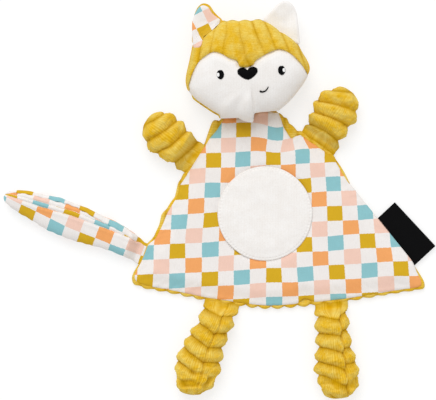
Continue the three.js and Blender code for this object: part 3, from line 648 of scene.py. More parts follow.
def dress(piece, cloth, nodes):
    """Gives a piece its cloth and lets it stand for CAD nodes."""
    piece.data.materials.append(cloth)
    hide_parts(*nodes)
    faces = sum(len(p.vertices) - 2 for p in piece.data.polygons)
    print(f"{piece.name}: {faces} triangles, stands for {', '.join(nodes)}")
    return piece


def sew(piece, seam, until=turned_after):
    """Bakes a piece's place into its mesh. Where a blend across its seam would start and end, until a
    distance, is worked out but not used."""
    height = seam[0][2]
    start, end = (from_seam(seam, 0.0, y, height) * mm for y in (-seam_allowance, until))
    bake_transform(piece)
    return piece


# %% [markdown]
# ## The plush back
#
# The back is a panel of corduroy that lies with its ribs on the floor, running from head to foot. Only its
# edge shows from above, as a plump rim round the print, scalloped along the hem where the ribs end. The rim
# is wavy and wide on the left, and the print has rolled over it on the right, beside the ribbon. It is a
# bag round the middle of the belly: out under the ribs, round the rim and back over the hidden upper side.

# %% Body back
rib_pitch = 10.0
rim_middle, groove_depth, scallop_depth, inset_below_print = 2.1, 1.3, 2.3, 1.8
back_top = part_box("body_back_panel")[1][2] / mm
pulled_corners = bulge(205.5, 3.0, 2.6) + bulge(-24.0, 2.5, 2.2)
right_wedge = np.array([(10.6, 76.5), (17.3, 72.7), (18.2, 68.3), (26.1, 62.9)])
left_plush = np.array([(-61.9, 30.9), (-66.2, 23.3), (-68.6, 12.0), (-78.7, -0.6), (-80.5, -9.3),
                       (-87.0, -21.2)])
to_left = reach_to(left_plush, (0, 0))
felt_back = np.minimum(felt_reach(["body_back_panel"], (0, 0), 2.0), reach_to(right_wedge, (0, 0)))
full_reach = soften(np.where(np.isfinite(to_left), to_left, felt_back), 0.8) + pulled_corners
sideways = (np.degrees(turns) + 180) % 360 - 180
rolled_over = ease(sideways, -21, -17) * ease(sideways, 21, 16)
back_reach = full_reach - inset_below_print * rolled_over
back_outline = outline_of(back_reach)


def outward(outline):
    """The unit direction that points out of an outline at each of its points."""
    step = np.roll(outline, -1, axis=0) - np.roll(outline, 1, axis=0)
    return np.stack([step[:, 1], -step[:, 0]], axis=-1) / np.hypot(step[:, 0], step[:, 1])[:, None]


def body_ribs(x, y):
    """Ribs that run head to foot, a little uneven."""
    return rib(x / rib_pitch + 0.5 + 0.07 * hills(x, y, 22.0, 11))


def body_back():
    """Bottom: height is the groove's depth where the ribs part. Rim: both sides close in a half circle."""
    scallop = scallop_depth * (body_ribs(*back_outline.T) - 0.6) * np.abs(outward(back_outline)[:, 1]) ** 1.5
    reach = back_reach + scallop
    under = np.concatenate([np.linspace(0.02, 0.88, 70), np.linspace(0.89, 1, 26)])
    over = np.concatenate([np.linspace(1, 0.93, 14)[1:], [0.85, 0.6, 0.3, 0.05]])
    x, y = spread(np.concatenate([under, over]), reach)
    edge = edge_distance(x, y, outline_of(reach))
    ribs = body_ribs(x, y)
    pile = 0.12 * hills(x, y, 1.7, 12)
    low = groove_depth * (1 - ribs) + pile
    high = back_top + (1.2 * (1 - ease(edge, 1.6, 4.5)) + pile) * (1 - rolled_over)
    shut = roll(edge, 2.4)
    is_under = np.arange(len(x))[:, None] < len(under)
    z = rim_middle + shut * (np.where(is_under, low, high) - rim_middle)
    poles = [[0, 0, low[0].mean()], [0, 0, back_top]]
    grain = np.concatenate([np.stack([y, x], axis=-1), np.stack([y, x], axis=-1)[:, :1]], axis=1)
    return bag("body_back", np.stack([x, y, np.maximum(z, 0)], axis=-1), poles, grain, rib=ribs)


back = dress(body_back(), plush, ["body_back_panel"])
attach(back, "body")

# %% [markdown]
# ## The cut of the printed front
#
# The front is cut like the back. On both sides of the neck the plush shows past it in a small wedge, and
# along the left side as a wavy line. The checks were printed square, but the cloth lies a little askew: its
# rows climb to the right, and its columns draw together towards the neck. Where the cloth is bunched or
# slack the columns shift sideways, by the few millimetres that were read off along a row.

# %% Outline and checks of the front
front_low, front_high = (corner[2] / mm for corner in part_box("body_front_panel"))
patch_low, patch_high = (np.array(corner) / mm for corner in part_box("belly_patch"))
patch_radius = (patch_high[0] - patch_low[0]) / 2
neck_edge = [(38, -17.5), (31, -21.5), (26, -12), (23.5, -1), (21, 1.6), (5.5, 1.6), (2.5, -0.6), (-18.5, -1),
             (-24.5, -9.5), (-31.5, -16)]
neck_line = from_seam(neck, *np.array(neck_edge).T, 0.0)[:, :2]
to_neck = reach_to(neck_line, (0, 0))
felt_front = felt_reach(["body_front_panel"], (0, 0), front_low + 0.4)
lifted_hem = bulge(-65, 3.2, 3.8)
left_print = np.array([(-59.2, 29.5), (-64.4, 22.2), (-67.3, 12.2), (-73.8, 1.6), (-77.8, -8.2),
                       (-84.4, -21.2)])
to_cut = np.minimum(to_neck, reach_to(left_print, (0, 0)))
front_reach = soften(np.where(np.isfinite(to_cut), to_cut, felt_front), 0.7) + pulled_corners - lifted_hem
front_reach = front_reach + rolled_over * (full_reach - front_reach)
front_outline = outline_of(front_reach)
cloth_thickness = 1.0
square_width, square_height = 11.7, 11.2
middle_square = (7.96, 4.73)
row_climb = 0.052
column_closing = 0.00078
sag, sag_place, sag_width = 5.0, 10.0, 12.0
bunched_at, bunched_by = [-8, 2.6, 14, 21, 29, 38], [0, -1.5, -2.6, 1.3, 5, 5]
slack_at, slack_by = [-72, -58, -38], [1.6, 1.1, 0]


def front_squares(x, y):
    """The count of squares from the lower left: columns close towards the neck, rows climb to the right,
    and the cloth sags and is bunched near the neck, where a gather pulls it out of line."""
    sagging = sag * np.exp(-(((x - sag_place) / sag_width) ** 2)) * ease(y, 30, 64)
    bunched = curve_through(x, bunched_at, bunched_by) * ease(y, 46, 60)
    bunched = bunched + np.interp(x, slack_at, slack_by) * ease(y, -60, -25)
    column = middle_square[0] + (x + bunched) / square_width * (1 + column_closing * y)
    column = column + 0.05 * hills(x, y, 19.0, 25)
    row = middle_square[1] + (y + sagging - row_climb * x) / square_height + 0.06 * hills(x, y, 23.0, 26)
    return np.stack([column, row, np.zeros_like(x)], axis=-1)


print("the middle of the belly is square", *np.round(front_squares(np.zeros(1), np.zeros(1))[0, :2], 2))

# %% [markdown]
# ## The printed front
#
# The front is turned in at its edge and held up by thin wadding, so it rises from a rolled rim over about a
# finger's width and then lies nearly level. Thread pulls small puckers into the edge, and the cloth gathers
# where it goes up into the neck seam, under the chin. All of that is one height that depends on the place
# and on the distance from the edge.

# %% Body front
rim_start, rim_height = 0.2, 1.9
pucker_height, gather_height, crumple_height = 0.3, 0.8, 0.6
valley_depth, valley_width = 0.9, 2.2


def front_height(x, y, edge):
    """A rolled rim, a slope up to the padded middle, puckers along the seam, gathers under the neck, soft
    hills and a valley where the patch is sewn down."""
    turn = np.arctan2(y, x) % (2 * math.pi)
    sewn = np.interp(turn, turns, np.cumsum(np.hypot(*(np.roll(front_outline, -1, 0) - front_outline).T)))
    padding = front_high - front_low - rim_start - rim_height
    rise = front_low + rim_start + rim_height * roll(edge, 3.0) + padding * ease(edge, 2.0, 13.0)
    wavy = np.sin(sewn / 1.35 + 3 * hills(sewn, edge, 14.0, 21))
    pucker = pucker_height * wavy * np.exp(-edge / 5.0) * roll(edge, 2.0)
    along, away = to_seam(neck, x, y)
    fanned = along / (1.25 - away / 60)
    fading = np.exp(np.minimum(away + 9, 0) / 12) * ease(edge, 0, 4) * ease(away, -48, -25)
    gather = gather_height * np.sin(fanned / 1.9 + 2.5 * hills(along, away, 13.0, 22)) * fading
    crumple = crumple_height * hills(x, y, 27.0, 23) + 0.25 * hills(x + y, y, 11.0, 24)
    from_middle = np.hypot(x, y)
    valley = valley_depth * np.exp(-(((from_middle - patch_radius) / valley_width) ** 2))
    valley = -valley - 0.5 * (from_middle < patch_radius)
    return rise + pucker + gather + crumple * ease(edge, 1, 12) + valley


def body_front():
    """Out over the top from the middle to the rim, and back inside one cloth thickness lower."""
    over = np.concatenate([np.linspace(0.02, 0.88, 76), np.linspace(0.886, 1, 30)])
    inside = np.array([1, 0.985, 0.95, 0.9, 0.8, 0.6, 0.4, 0.2, 0.03])
    x, y = spread(np.concatenate([over, inside]), front_reach)
    edge = edge_distance(x, y, front_outline)
    z = front_height(x, y, edge)
    is_inside = np.arange(len(x))[:, None] >= len(over)
    z = np.where(is_inside, np.maximum(z - cloth_thickness, front_low), z)
    poles = [[0, 0, z[0].mean()], [0, 0, z[-1].mean()]]
    return bag("body_front", np.stack([x, y, z], axis=-1), poles, squares=front_squares(x, y))


front = dress(body_front(), printed_cloth, ["body_front_panel", "body_wadding"])
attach(front, "body")

# %% [markdown]
# ## The belly patch
#
# A disc of velour is laid on the print and sewn round its edge, which turns under. It is softly uneven,
# with a few wrinkles from the cloth below, and the stitches leave a ring of tiny dimples just inside the
# edge.

# %% Belly patch
stitch_inset, stitches_round = 1.7, 84
sunk_by, patch_rim_height, patch_crown = 0.9, 1.6, 0.7


def belly_patch():
    """A disc that rises in a quarter circle at its rim, with dimples every few millimetres round it."""
    over = np.concatenate([np.linspace(0.02, 0.9, 44), np.linspace(0.91, 1, 14)])
    inside = np.array([1.0, 0.9, 0.5, 0.05])
    shares = np.concatenate([over, inside])[:, None]
    radius = patch_radius * (1 + 0.006 * hills(turns * 10, 0 * turns, 4.0, 31, around=16))
    x, y = shares * radius * np.cos(turns), shares * radius * np.sin(turns)
    edge = (1 - shares) * radius
    base = patch_low[2] - sunk_by
    stitches = 0.16 * np.cos(turns * stitches_round) * np.exp(-(((edge - stitch_inset) / 0.9) ** 2))
    sewn_down = -0.35 * np.exp(-(((edge - stitch_inset) / 0.8) ** 2))
    wrinkles = 0.3 * hills(x + 0.5 * y, y, 13.0, 32) + 0.12 * hills(x, y, 6.0, 33)
    top = base + patch_rim_height * roll(edge, 2.2) + patch_crown * ease(edge, 2, 12) + stitches + sewn_down
    top = top + wrinkles * ease(edge, 2, 9)
    is_inside = np.arange(len(shares))[:, None] >= len(over)
    z = np.where(is_inside, base - 0.2, top)
    poles = [[0, 0, z[0].mean()], [0, 0, base - 0.2]]
    return bag("belly_velour_patch", np.stack([x, y, z], axis=-1), poles)


patch_piece = dress(belly_patch(), velour, ["belly_patch"])
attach(patch_piece, "body")

# %% [markdown]
# ## The form of a limb
#
# Each limb is a sock of corduroy, pinched flat in the body's seam and filled tight from there on. Its form
# is a section with rounded corners, carried along a bent line. The middle of the line and half the width
# are given at a few distances from the seam, and the length and the thickness are measured on the packed
# model. Anything that shapes the cloth further is taken off as a depth, so that the crests of the ribs keep
# the real size.

# %% The smooth form of a limb
limb_steps = 168
around = np.linspace(0, 2 * math.pi, limb_steps + 1)
hinge_height = neck[0][2]
root_half = 1.45
swell_from, swell_to = 2.0, 12.0
limb_rib_depth, crest_height = 3.2, 0.8


def limb_measure(node, seam):
    """Length, thickness and half the seat of a CAD limb, measured from its seam."""
    points = np.array([v.co for v in frame["nodes"][node].data.vertices]) / mm
    along, away = to_seam(seam, points[:, 0], points[:, 1])
    return away.max(), points[:, 2].max(), np.abs(along[np.abs(away) < 1.4]).max()


def limb_form(limb, y):
    """How far the middle of the limb lies sideways, and half its width, at a distance from the seam."""
    rows = np.array(limb["form"], float)
    y = np.clip(y, 0, rows[-1, 0])
    return curve_through(y, rows[:, 0], rows[:, 1]), curve_through(y, rows[:, 0], rows[:, 2])


def limb_end(limb, y):
    """Share of the full section that is left near the tip: a rounded end, 1 until the end begins."""
    q = np.clip((y - limb["length"] + limb["end"]) / limb["end"], 0, 1)
    return (1 - q**2.4) ** (1 / 2.4)


def limb_section(limb, y, depth, turn):
    """Points of a section: a rounded box at the seam that swells into an oval, with depth taken off all
    round."""
    swell = ease(y, swell_from, swell_to)
    top = hinge_height + root_half + (limb["thickness"] - hinge_height - root_half) * swell
    bottom = (hinge_height - root_half) * (1 - swell) - 0.4 * swell
    sideways, wide = limb_form(limb, y)
    half_width = wide * limb_end(limb, y) - depth
    half_height = (top - bottom) / 2 * limb_end(limb, y) - depth
    power = 0.4 + 0.48 * swell
    across = np.sign(np.cos(turn)) * np.abs(np.cos(turn)) ** power
    upright = np.sign(np.sin(turn)) * np.abs(np.sin(turn)) ** power
    x = sideways + across * np.maximum(half_width, 0.15)
    z = (top + bottom) / 2 + upright * np.maximum(half_height, 0.15)
    return x, soft_above(z, 0.0, 0.5) - 0.02


print("a limb is", 2 * root_half, "mm thick in its seam and full", swell_to, "mm from it")

# %% [markdown]
# ## The ribs of a limb
#
# The ribs run round the limb. The sock was cut by hand, so they lean, and more so towards the tip. The legs
# have their lengthwise seam on top, where the ribs of the two edges miss each other, and toes in which the
# cloth is bunched up. A full sock also lets each rib sag towards the tip, so that it overhangs the next
# groove.


# %% Ribs round a limb
def bunched_toe(limb, y):
    """How much the cloth is bunched up near the tip: from 0 to the limb's own amount within a
    centimetre."""
    return limb["bunched"] * ease(y, limb["length"] - 23, limb["length"] - 13)


def hanging_rib(phase):
    """A rib whose crest has slid towards the tip, so that it overhangs the next groove a little."""
    step = np.floor(phase)
    return rib(step + (phase - step) ** 1.35)


def limb_ribs(limb, x, y, turn):
    """Grooves lie where y + lean * x + bow * x^2 comes to first + pitch * k. A second set of ribs, if there
    is one, takes over past the lengthwise seam: at once on top, and over some millimetres underneath. In a
    bunched toe the ribs break up into lumps."""
    wobble = 1.3 * hills_round(turn, y, 7, 11.0, limb["seed"])
    wobble = wobble + 1.6 * bunched_toe(limb, y) * hills_round(turn, y, 9, 5.0, limb["seed"] + 3)
    sets = [hanging_rib((y + (lean + growth * y) * x + bow * x**2 + wobble - first) / pitch)
            for first, pitch, lean, growth, bow in limb["ribs"]]
    ribs = sets[0]
    if len(sets) > 1:
        past = x - limb_form(limb, y)[0] - limb["seam_x"]
        width = 0.5 + 5.5 * ease(-np.sin(turn), -0.1, 0.5)
        ribs = sets[1] + (sets[0] - sets[1]) * ease(past / width, -1, 1)
    lumpy = ease(hills_round(turn, y, 13, 5.2, limb["seed"] + 9), -0.55, 0.35)
    return ribs + (lumpy - ribs) * 0.75 * bunched_toe(limb, y)


print("a hanging rib is highest at", np.argmax(hanging_rib(np.linspace(0, 0.99, 100))), "percent of its way")

# %% [markdown]
# ## Arms and legs
#
# All four limbs are one function with different numbers. The form rows are the distance from the seam, the
# shift sideways and half the width. Each set of ribs is its first groove, its pitch, its lean, how the lean
# grows, and its bow. Gathers draw the cloth together at the tip, lumps of stuffing push it out, and the
# lengthwise seam pulls a line into it.

# %% The four limbs
gather_depth, gathers_round = 0.8, 8
lump_height, seam_line_depth = 0.5, 1.3
fine_pile, coarse_pile = 0.42, 0.45
starts_inside, ring_spacing = 3.0, 0.45


def limb_piece(limb, seam):
    """The whole sock, from inside the seam to the rounded tip."""
    length = limb["length"]
    straight = np.linspace(-starts_inside, length - limb["end"], int(length / ring_spacing))
    tip = length - limb["end"] + limb["end"] * np.sin(np.linspace(0, math.pi / 2, 34))[1:-1]
    y, turn = np.meshgrid(np.concatenate([straight, tip]), around, indexing="ij")
    plain_x, _ = limb_section(limb, y, 0.0, turn)
    ribs = limb_ribs(limb, plain_x, y, turn)
    swell = ease(y, 0.0, 7.0)
    near_tip = ease(y, length - 0.6 * limb["end"], length)
    gathers = 1 + np.cos(gathers_round * turn + 2 * hills_round(turn, y, 5, 4.0, 41))
    gathers = near_tip * gather_depth * gathers
    lumps = lump_height * hills_round(turn, y, 14, 4.8, limb["seed"] + 10)
    line = 0.0
    if len(limb["ribs"]) > 1:
        past = plain_x - limb_form(limb, y)[0] - limb["seam_x"]
        line = np.exp(-((past / 1.0) ** 2)) * ease(np.sin(turn), 0, 0.3)
    pile = fine_pile * hills_round(turn, y, 64, 1.1, limb["seed"] + 5)
    pile = pile + coarse_pile * hills_round(turn, y, 26, 3.0, 43)
    depth = limb_rib_depth * (1 - ribs) * (1 - 0.4 * near_tip) - crest_height + seam_line_depth * line
    depth = depth + gathers + lumps + pile
    x, z = limb_section(limb, y, swell * depth, turn)
    rings = from_seam(seam, x, y, np.maximum(z, 0.0))
    middle = rings[:, :-1].mean(axis=1)
    poles = [middle[0], from_seam(seam, limb_form(limb, length)[0], length, middle[-1][2])]
    grain = np.stack([turn * limb["seat"] * 0.95, y], axis=-1)
    # The rib mark is halved along the lengthwise seam, so the plush there takes the groove colour: painted
    # shade in the seam's crease.
    return bag(limb["name"], rings[:, :-1], poles, grain, rib=(ribs * (1 - 0.5 * line))[:, :-1])


limbs = {
    "left_arm": dict(
        form=[(0, 0, 13), (9, 0.8, 13.6), (17, 2.3, 14.8), (28, 3.4, 16.4), (38, 4.2, 14), (46, 4.4, 12.4)],
        ribs=[(6.7, 12.2, 0.22, 0.0055, 0.0)], bunched=0.2, end=13, seed=51),
    "right_arm": dict(
        form=[(0, 0, 15.2), (10, -1.4, 15.2), (19, -3.2, 16.2), (27, -3.7, 17.2), (36, -3.6, 14.4),
              (46, -3.6, 11.5)],
        ribs=[(9.4, 11.3, -0.04, -0.006, 0.008)], bunched=0.1, end=13, seed=52),
    "left_leg": dict(
        form=[(0, 0, 13.4), (16, 3.3, 13.2), (28, 7.4, 14.6), (37, 9.6, 16), (46, 10.6, 17.4),
              (54, 11.4, 16.2), (61, 12.3, 14.6), (72, 13.6, 12.6)],
        ribs=[(9.2, 13.2, 0.36, 0.0045, 0.0), (9.6, 11.4, -0.14, 0.0, 0.0)],
        seam_x=-4.6, bunched=1.0, end=10.5, seed=53),
    "right_leg": dict(
        form=[(0, 0, 12.6), (14, 1.6, 12.4), (25, 2.2, 12.8), (36, 2.2, 14.2), (48, 2.2, 16.2),
              (56, 2.2, 15.8), (64, 2.2, 14.2), (72, 2.2, 13.6)],
        ribs=[(9.8, 12.6, 0.1, 0.008, 0.0), (9.8, 12.6, -0.3, 0.0, 0.0)],
        seam_x=-7.5, bunched=0.8, end=9.5, seed=54),
}
for name, limb in limbs.items():
    seam = seam_of(name + "_swing")
    limb["name"] = name
    limb["length"], limb["thickness"], limb["seat"] = limb_measure(name + "_cover", seam)
    piece = dress(limb_piece(limb, seam), plush, [name + "_cover", name + "_stuffing"])
    sew(piece, seam)
    print(name, "is", round(float(limb["length"]), 1), "mm long")

# %% [markdown]
#
# The tail is a long cushion of the same print, made of a front and a back panel. Their upper seam has
# rolled forward, so it shows from above with a strip of the back beyond it, and the front has two tucks
# along it. The squares are counted along the arc of the section, so they keep their size, and the count
# jumps at the tucks, where some cloth is folded away.

# %% Form and squares of the tail
tail_seam = seam_of("tail_swing")
tail_length, tail_top, tail_seat = limb_measure("tail_front_panel", tail_seam)
tail_form = [(0, 0.4, 8.5), (14, 4.0, 10.6), (40, 4.7, 12.8), (70, 5.0, 13.8), (95, 5.6, 10.4),
             (106, 5.3, 9.4), (113, 5.0, 8.6)]
tail = dict(length=tail_length, thickness=tail_top, seat=tail_seat, form=tail_form, end=26)
lower_seam_turn = math.radians(188)
tail_square = 12.3
along_tail = [0, 26, 40, 60, 84, 113]
upper_seam_degrees = [62, 55, 44, 28, 34, 40]
top_line_x = [-1.2, -1.2, -1.0, -0.6, 2.0, 5.0]
first_tuck_x = [9.0, 9.0, 9.0, 9.0, 7.1, 6.2]
second_tuck_x = [13.0, 13.0, 13.0, 13.2, 11.2, 8.0]


def tail_squares(is_front, x, y, arc):
    """The count of squares along the tail and round it: from a line on top, with a jump at each tuck, or
    from the upper seam."""
    if not is_front:
        row = 0.55 + (arc[:, -1:] - arc) / tail_square
        column = y / tail_square + 0.48 + 0.4 * ease(row, 0.95, 1.05)
        return np.stack([column, row, np.zeros_like(arc)], axis=-1)
    line = np.interp(y[:, 0], along_tail, top_line_x)
    start = np.array([np.interp(-at, -px, way) for at, px, way in zip(line, x, arc)])[:, None]
    past = [ease(x - np.interp(y, along_tail, tuck), -0.15, 0.15) for tuck in (first_tuck_x, second_tuck_x)]
    column = (y + 0.5) / tail_square + 1 + 0.62 * past[0] - 1.06 * past[1]
    row = 1 + (start - arc) / tail_square * 0.97
    row = np.where(past[0] > 0.5, np.clip(row, 2.05, 2.95), np.minimum(row, 1.98))
    row = np.where(past[1] > 0.5, np.clip(row + 0.7, 3.05, 3.95), row)
    return np.stack([column, row, np.zeros_like(arc)], axis=-1)


print("the tail is", round(float(tail_length), 1), "mm long")

# %% [markdown]
# ## The tail
#
# Each panel of the tail is a bag by itself: its section is the outer arc followed by the same arc one cloth
# thickness further in. The section is that of a limb, between the two seams. Both panels dip where they
# meet, the seam thread puckers them, and the cloth is gathered where it goes into the body.

# %% Tail panels
tail_dip, tail_pucker, tail_gather = 1.1, 0.35, 0.55
tuck_depth, tuck_fullness = 0.9, 0.5


def tail_panel(name, is_front):
    """One panel between two seams. Its section runs out over the arc and back inside it."""
    arc_steps, rows = 120, 190
    straight = np.linspace(-starts_inside, tail_length - tail["end"], rows)
    tip = tail_length - tail["end"] * (1 - np.sin(np.linspace(0, math.pi / 2, 44)))
    y, share = np.meshgrid(np.concatenate([straight, tip[1:-1]]), np.linspace(0, 1, arc_steps), indexing="ij")
    upper = np.radians(np.interp(y, along_tail, upper_seam_degrees))
    lower = lower_seam_turn - (0 if is_front else 2 * math.pi)
    turn = upper + (lower - upper) * share if is_front else lower + (upper - lower) * share
    plain_x, plain_z = limb_section(tail, y, 0.0, turn)
    arc = np.cumsum(np.hypot(np.diff(plain_x, axis=1, prepend=plain_x[:, :1]),
                             np.diff(plain_z, axis=1, prepend=plain_z[:, :1])), axis=1)
    seam_distance = np.minimum(arc, arc[:, -1:] - arc)
    swell = ease(y, 0, 9)
    dip = tail_dip * np.exp(-seam_distance / 1.1)
    wavy = np.sin(y / 1.25 + 2.5 * hills(y, arc, 12.0, 61))
    pucker = tail_pucker * wavy * np.exp(-seam_distance / 3.5)
    crumple = 0.5 * hills(y, arc, 17.0, 62) + 0.3 * hills(y + arc, arc, 8.0, 63)
    gather = tail_gather * np.sin(arc / 0.95) * np.exp(-np.abs(y) / 9)
    tuck = 0.0
    if is_front:
        beside = [plain_x - np.interp(y, along_tail, at) for at in (first_tuck_x, second_tuck_x)]
        tuck = sum(tuck_depth * np.exp(-((b / 0.8) ** 2)) - tuck_fullness * np.exp(-(((b + 2.2) / 1.6) ** 2))
                   for b in beside)
        tuck = tuck * limb_end(tail, y) * ease(arc, 0, 2)
    depth = swell * (dip + tuck - pucker - crumple + 0.5) - gather * ease(y, 1, 5)
    rings = []
    for extra in (0.0, cloth_thickness):
        x, z = limb_section(tail, y, depth + extra, turn)
        rings.append(from_seam(tail_seam, x, y, np.maximum(z, 0.0)))
    both = np.concatenate([rings[0], rings[1][:, ::-1]], axis=1)
    squares = tail_squares(is_front, plain_x, y, arc)
    squares = np.concatenate([squares, squares[:, ::-1]], axis=1)
    return bag(name, both, [both[0].mean(axis=0), both[-1].mean(axis=0)], squares=squares)


tail_parts = {
    "tail_front": (["tail_front_panel", "tail_stuffing"], True),
    "tail_back": (["tail_back_panel"], False),
}
for name, (nodes, is_front) in tail_parts.items():
    piece = dress(tail_panel(name, is_front), printed_cloth, nodes)
    sew(piece, tail_seam)

# %% [markdown]
# ## The form of the head
#
# The head is a stuffed cushion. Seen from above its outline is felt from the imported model, round a middle
# near the nose. Under the chin it was looked at closer: the cloth left of the dart laps over and hangs
# lower than the cloth to its right. The height over the seam follows the share of the way to the outline:
# high and flat in the middle, and falling steeply to the seam, as (1 - share^2.3)^(1/2.3). All the pieces
# of the face lie on that. The face is four centimetres nearer to the camera than the table, so what is on
# it looks about a millimetre further up than it is, and is set back by that.

# %% The dome of the face
head_width, head_height = 97.0, 78.0
dome_power, dome_edge = 2.3, 8.0
head_middle_local = (0.02 * head_width, 0.42 * head_height)
head_middle = from_seam(neck, *head_middle_local, 0.0)
head_seam_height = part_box("head_back_panel")[1][2] / mm
head_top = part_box("face_panel")[1][2] / mm
jaw_edge = [(-23, -0.9), (-20.5, -1.4), (-8, -2.1), (-3.1, -4.9), (0.5, -6.2), (3.6, -6.6), (4.3, 0.3),
            (10.5, 0.7), (24.7, 0.7)]
jaw_line = from_seam(neck, *np.array(jaw_edge).T, 0.0)[:, :2]
view_middle, camera_height, read_at = np.array([-35.7, 10.3]), 2500.0, 5.0
to_jaw = reach_to(jaw_line, head_middle[:2])
felt_head = soften(felt_reach(["head_back_panel"], head_middle, head_seam_height - 0.8), 1.2)
head_reach = soften(np.where(np.isfinite(to_jaw), to_jaw, felt_head), 0.8)
smooth_reach = soften(soften(head_reach, 5.0), 5.0)
head_outline = outline_of(head_reach, head_middle)


def from_head_middle(x, y, reach):
    """Distance from the middle of the head, and how far the given reach goes in the same direction."""
    dx, dy = x - head_middle[0], y - head_middle[1]
    return np.hypot(dx, dy), np.interp(np.arctan2(dy, dx) % (2 * math.pi), turns, reach, period=2 * math.pi)


def head_share(x, y):
    """Share of the way from the middle of the head to its outline, 1 on the seam."""
    distance, reach = from_head_middle(x, y, head_reach)
    return distance / reach


def dome(x, y):
    """Height of the stuffed face over the floor: a smooth form, closed by a rolled edge at the real
    outline."""
    distance, reach = from_head_middle(x, y, smooth_reach)
    swell = (1 - np.clip(distance / reach, 0, 1) ** dome_power) ** (1 / dome_power)
    closed = roll(from_head_middle(x, y, head_reach)[1] - distance, dome_edge)
    return head_seam_height + (head_top - head_seam_height) * np.minimum(swell, closed)


def under_lens(local):
    """Moves places that were read from the photograph as if they lay on the floor, in the head's x and y,
    to where they lie on the face: a camera sees high places further out from the middle of its view."""
    points = from_seam(neck, *np.array(local, float).T, 0.0)[..., :2]
    lowered = view_middle + (points - view_middle) * (1 - (head_top - read_at) / camera_height)
    return np.stack(to_seam(neck, lowered[..., 0], lowered[..., 1]), axis=-1)


print("head:", round(float(head_top - head_seam_height), 1), "mm over its seam")

# %% [markdown]
# ## The line between plush and velour
#
# The white of the face ends in two lobes above the eyes, with a notch between them over the nose. The line
# is a smooth curve through a few places, written as shares of the head's width and height and measured from
# the neck seam. The forehead lies above it and the face below, so both pieces are cut from the same curve.


# %% The mask line
def smooth_line(places, count):
    """A curve through places: a cubic between each two of them, whose slopes follow their neighbours."""
    places = np.array(places, float)
    padded = np.concatenate([2 * places[:1] - places[1:2], places, 2 * places[-1:] - places[-2:-1]])
    t = np.linspace(0, len(places) - 1 - 1e-9, count)
    k = t.astype(int)
    s = (t - k)[:, None]
    a, b, c, d = (padded[k + n] for n in range(4))
    return 0.5 * (2 * b + (c - a) * s + (2 * a - 5 * b + 4 * c - d) * s**2 + (3 * b - a - 3 * c + d) * s**3)


mask_shares = [
    (0.507, 0.335), (0.47, 0.42), (0.434, 0.483), (0.376, 0.561), (0.298, 0.609), (0.219, 0.592),
    (0.145, 0.552), (0.094, 0.515), (0.07, 0.476), (0.018, 0.461), (-0.034, 0.476), (-0.05, 0.53),
    (-0.113, 0.57), (-0.173, 0.62), (-0.234, 0.642), (-0.308, 0.601), (-0.362, 0.543), (-0.412, 0.444),
    (-0.452, 0.33), (-0.462, 0.29),
]
mask_local = under_lens(smooth_line(mask_shares, 300) * (head_width, head_height))
mask_line = from_seam(neck, mask_local[:, 0], mask_local[:, 1], 0.0)[:, :2]


def line_distance(x, y, line):
    """Shortest distance from points, given in rows, to the points of a line that is finely divided."""
    return np.stack([np.hypot(px[:, None] - line[:, 0], py[:, None] - line[:, 1]).min(axis=1)
                     for px, py in zip(x, y)])


print("mask line:", round(float(np.hypot(*np.diff(mask_line, axis=0).T).sum()), 1), "mm long")

# %% [markdown]
# ## The ribs of the forehead
#
# The ribs of the forehead fan out downwards, and they are not all as wide: the grooves were read off one by
# one along a line below the crown. So a point is followed up along the fan to that line and counted there.
# Over the nose the cloth laps over itself in a slanting ridge.

# %% Ribs and lap of the forehead
groove_level = 60.0
grooves = [-60, -49.5, -39.5, -29.4, -21.5, -12, -0.7, 11.1, 21, 30, 38.5, 48, 58]
fan_slope, fan_middle, fan_width = 0.28, -3.0, 8.0
ridge_from, ridge_to = np.array([6.4, 49.5]), np.array([-3.4, 37.5])


def head_ribs(x, y):
    """Ribs of the forehead: x is followed up to the level where the grooves were read, and counted
    there."""
    along, away = to_seam(neck, x, y)
    at_level = along - fan_slope * np.tanh((along - fan_middle) / fan_width) * (groove_level - away)
    return rib(np.interp(at_level, grooves, np.arange(len(grooves))) + 0.06 * hills(x, y, 9.0, 70))


def ridge(x, y):
    """The slanting lap over the nose: a bump beside a line, steep on its left and flat on its right."""
    along, away = to_seam(neck, x, y)
    way = ridge_to - ridge_from
    length = np.hypot(*way)
    run = ((along - ridge_from[0]) * way[0] + (away - ridge_from[1]) * way[1]) / length**2
    beside = ((along - ridge_from[0]) * -way[1] + (away - ridge_from[1]) * way[0]) / length
    width = np.where(beside > 0, 4.5, 1.1)
    return np.exp(-((beside / width) ** 2)) * ease(run, -0.2, 0.3)


print("the forehead has", len(grooves) - 1, "ribs")

# %% [markdown]
# ## The forehead
#
# The corduroy of the forehead reaches from the mask line up to the seam at the crown, and narrows to a rim
# down both cheeks. The piece is a strip: one parameter runs along the mask line and the crown together, the
# other from one to the other. The lower edge rolls into the seam with the velour, and the brushed plush
# stands about a millimetre proud of it.

# %% Forehead
stands_proud, head_rib_height, lap_height, turned_in_by = 0.6, 1.9, 2.0, 1.4


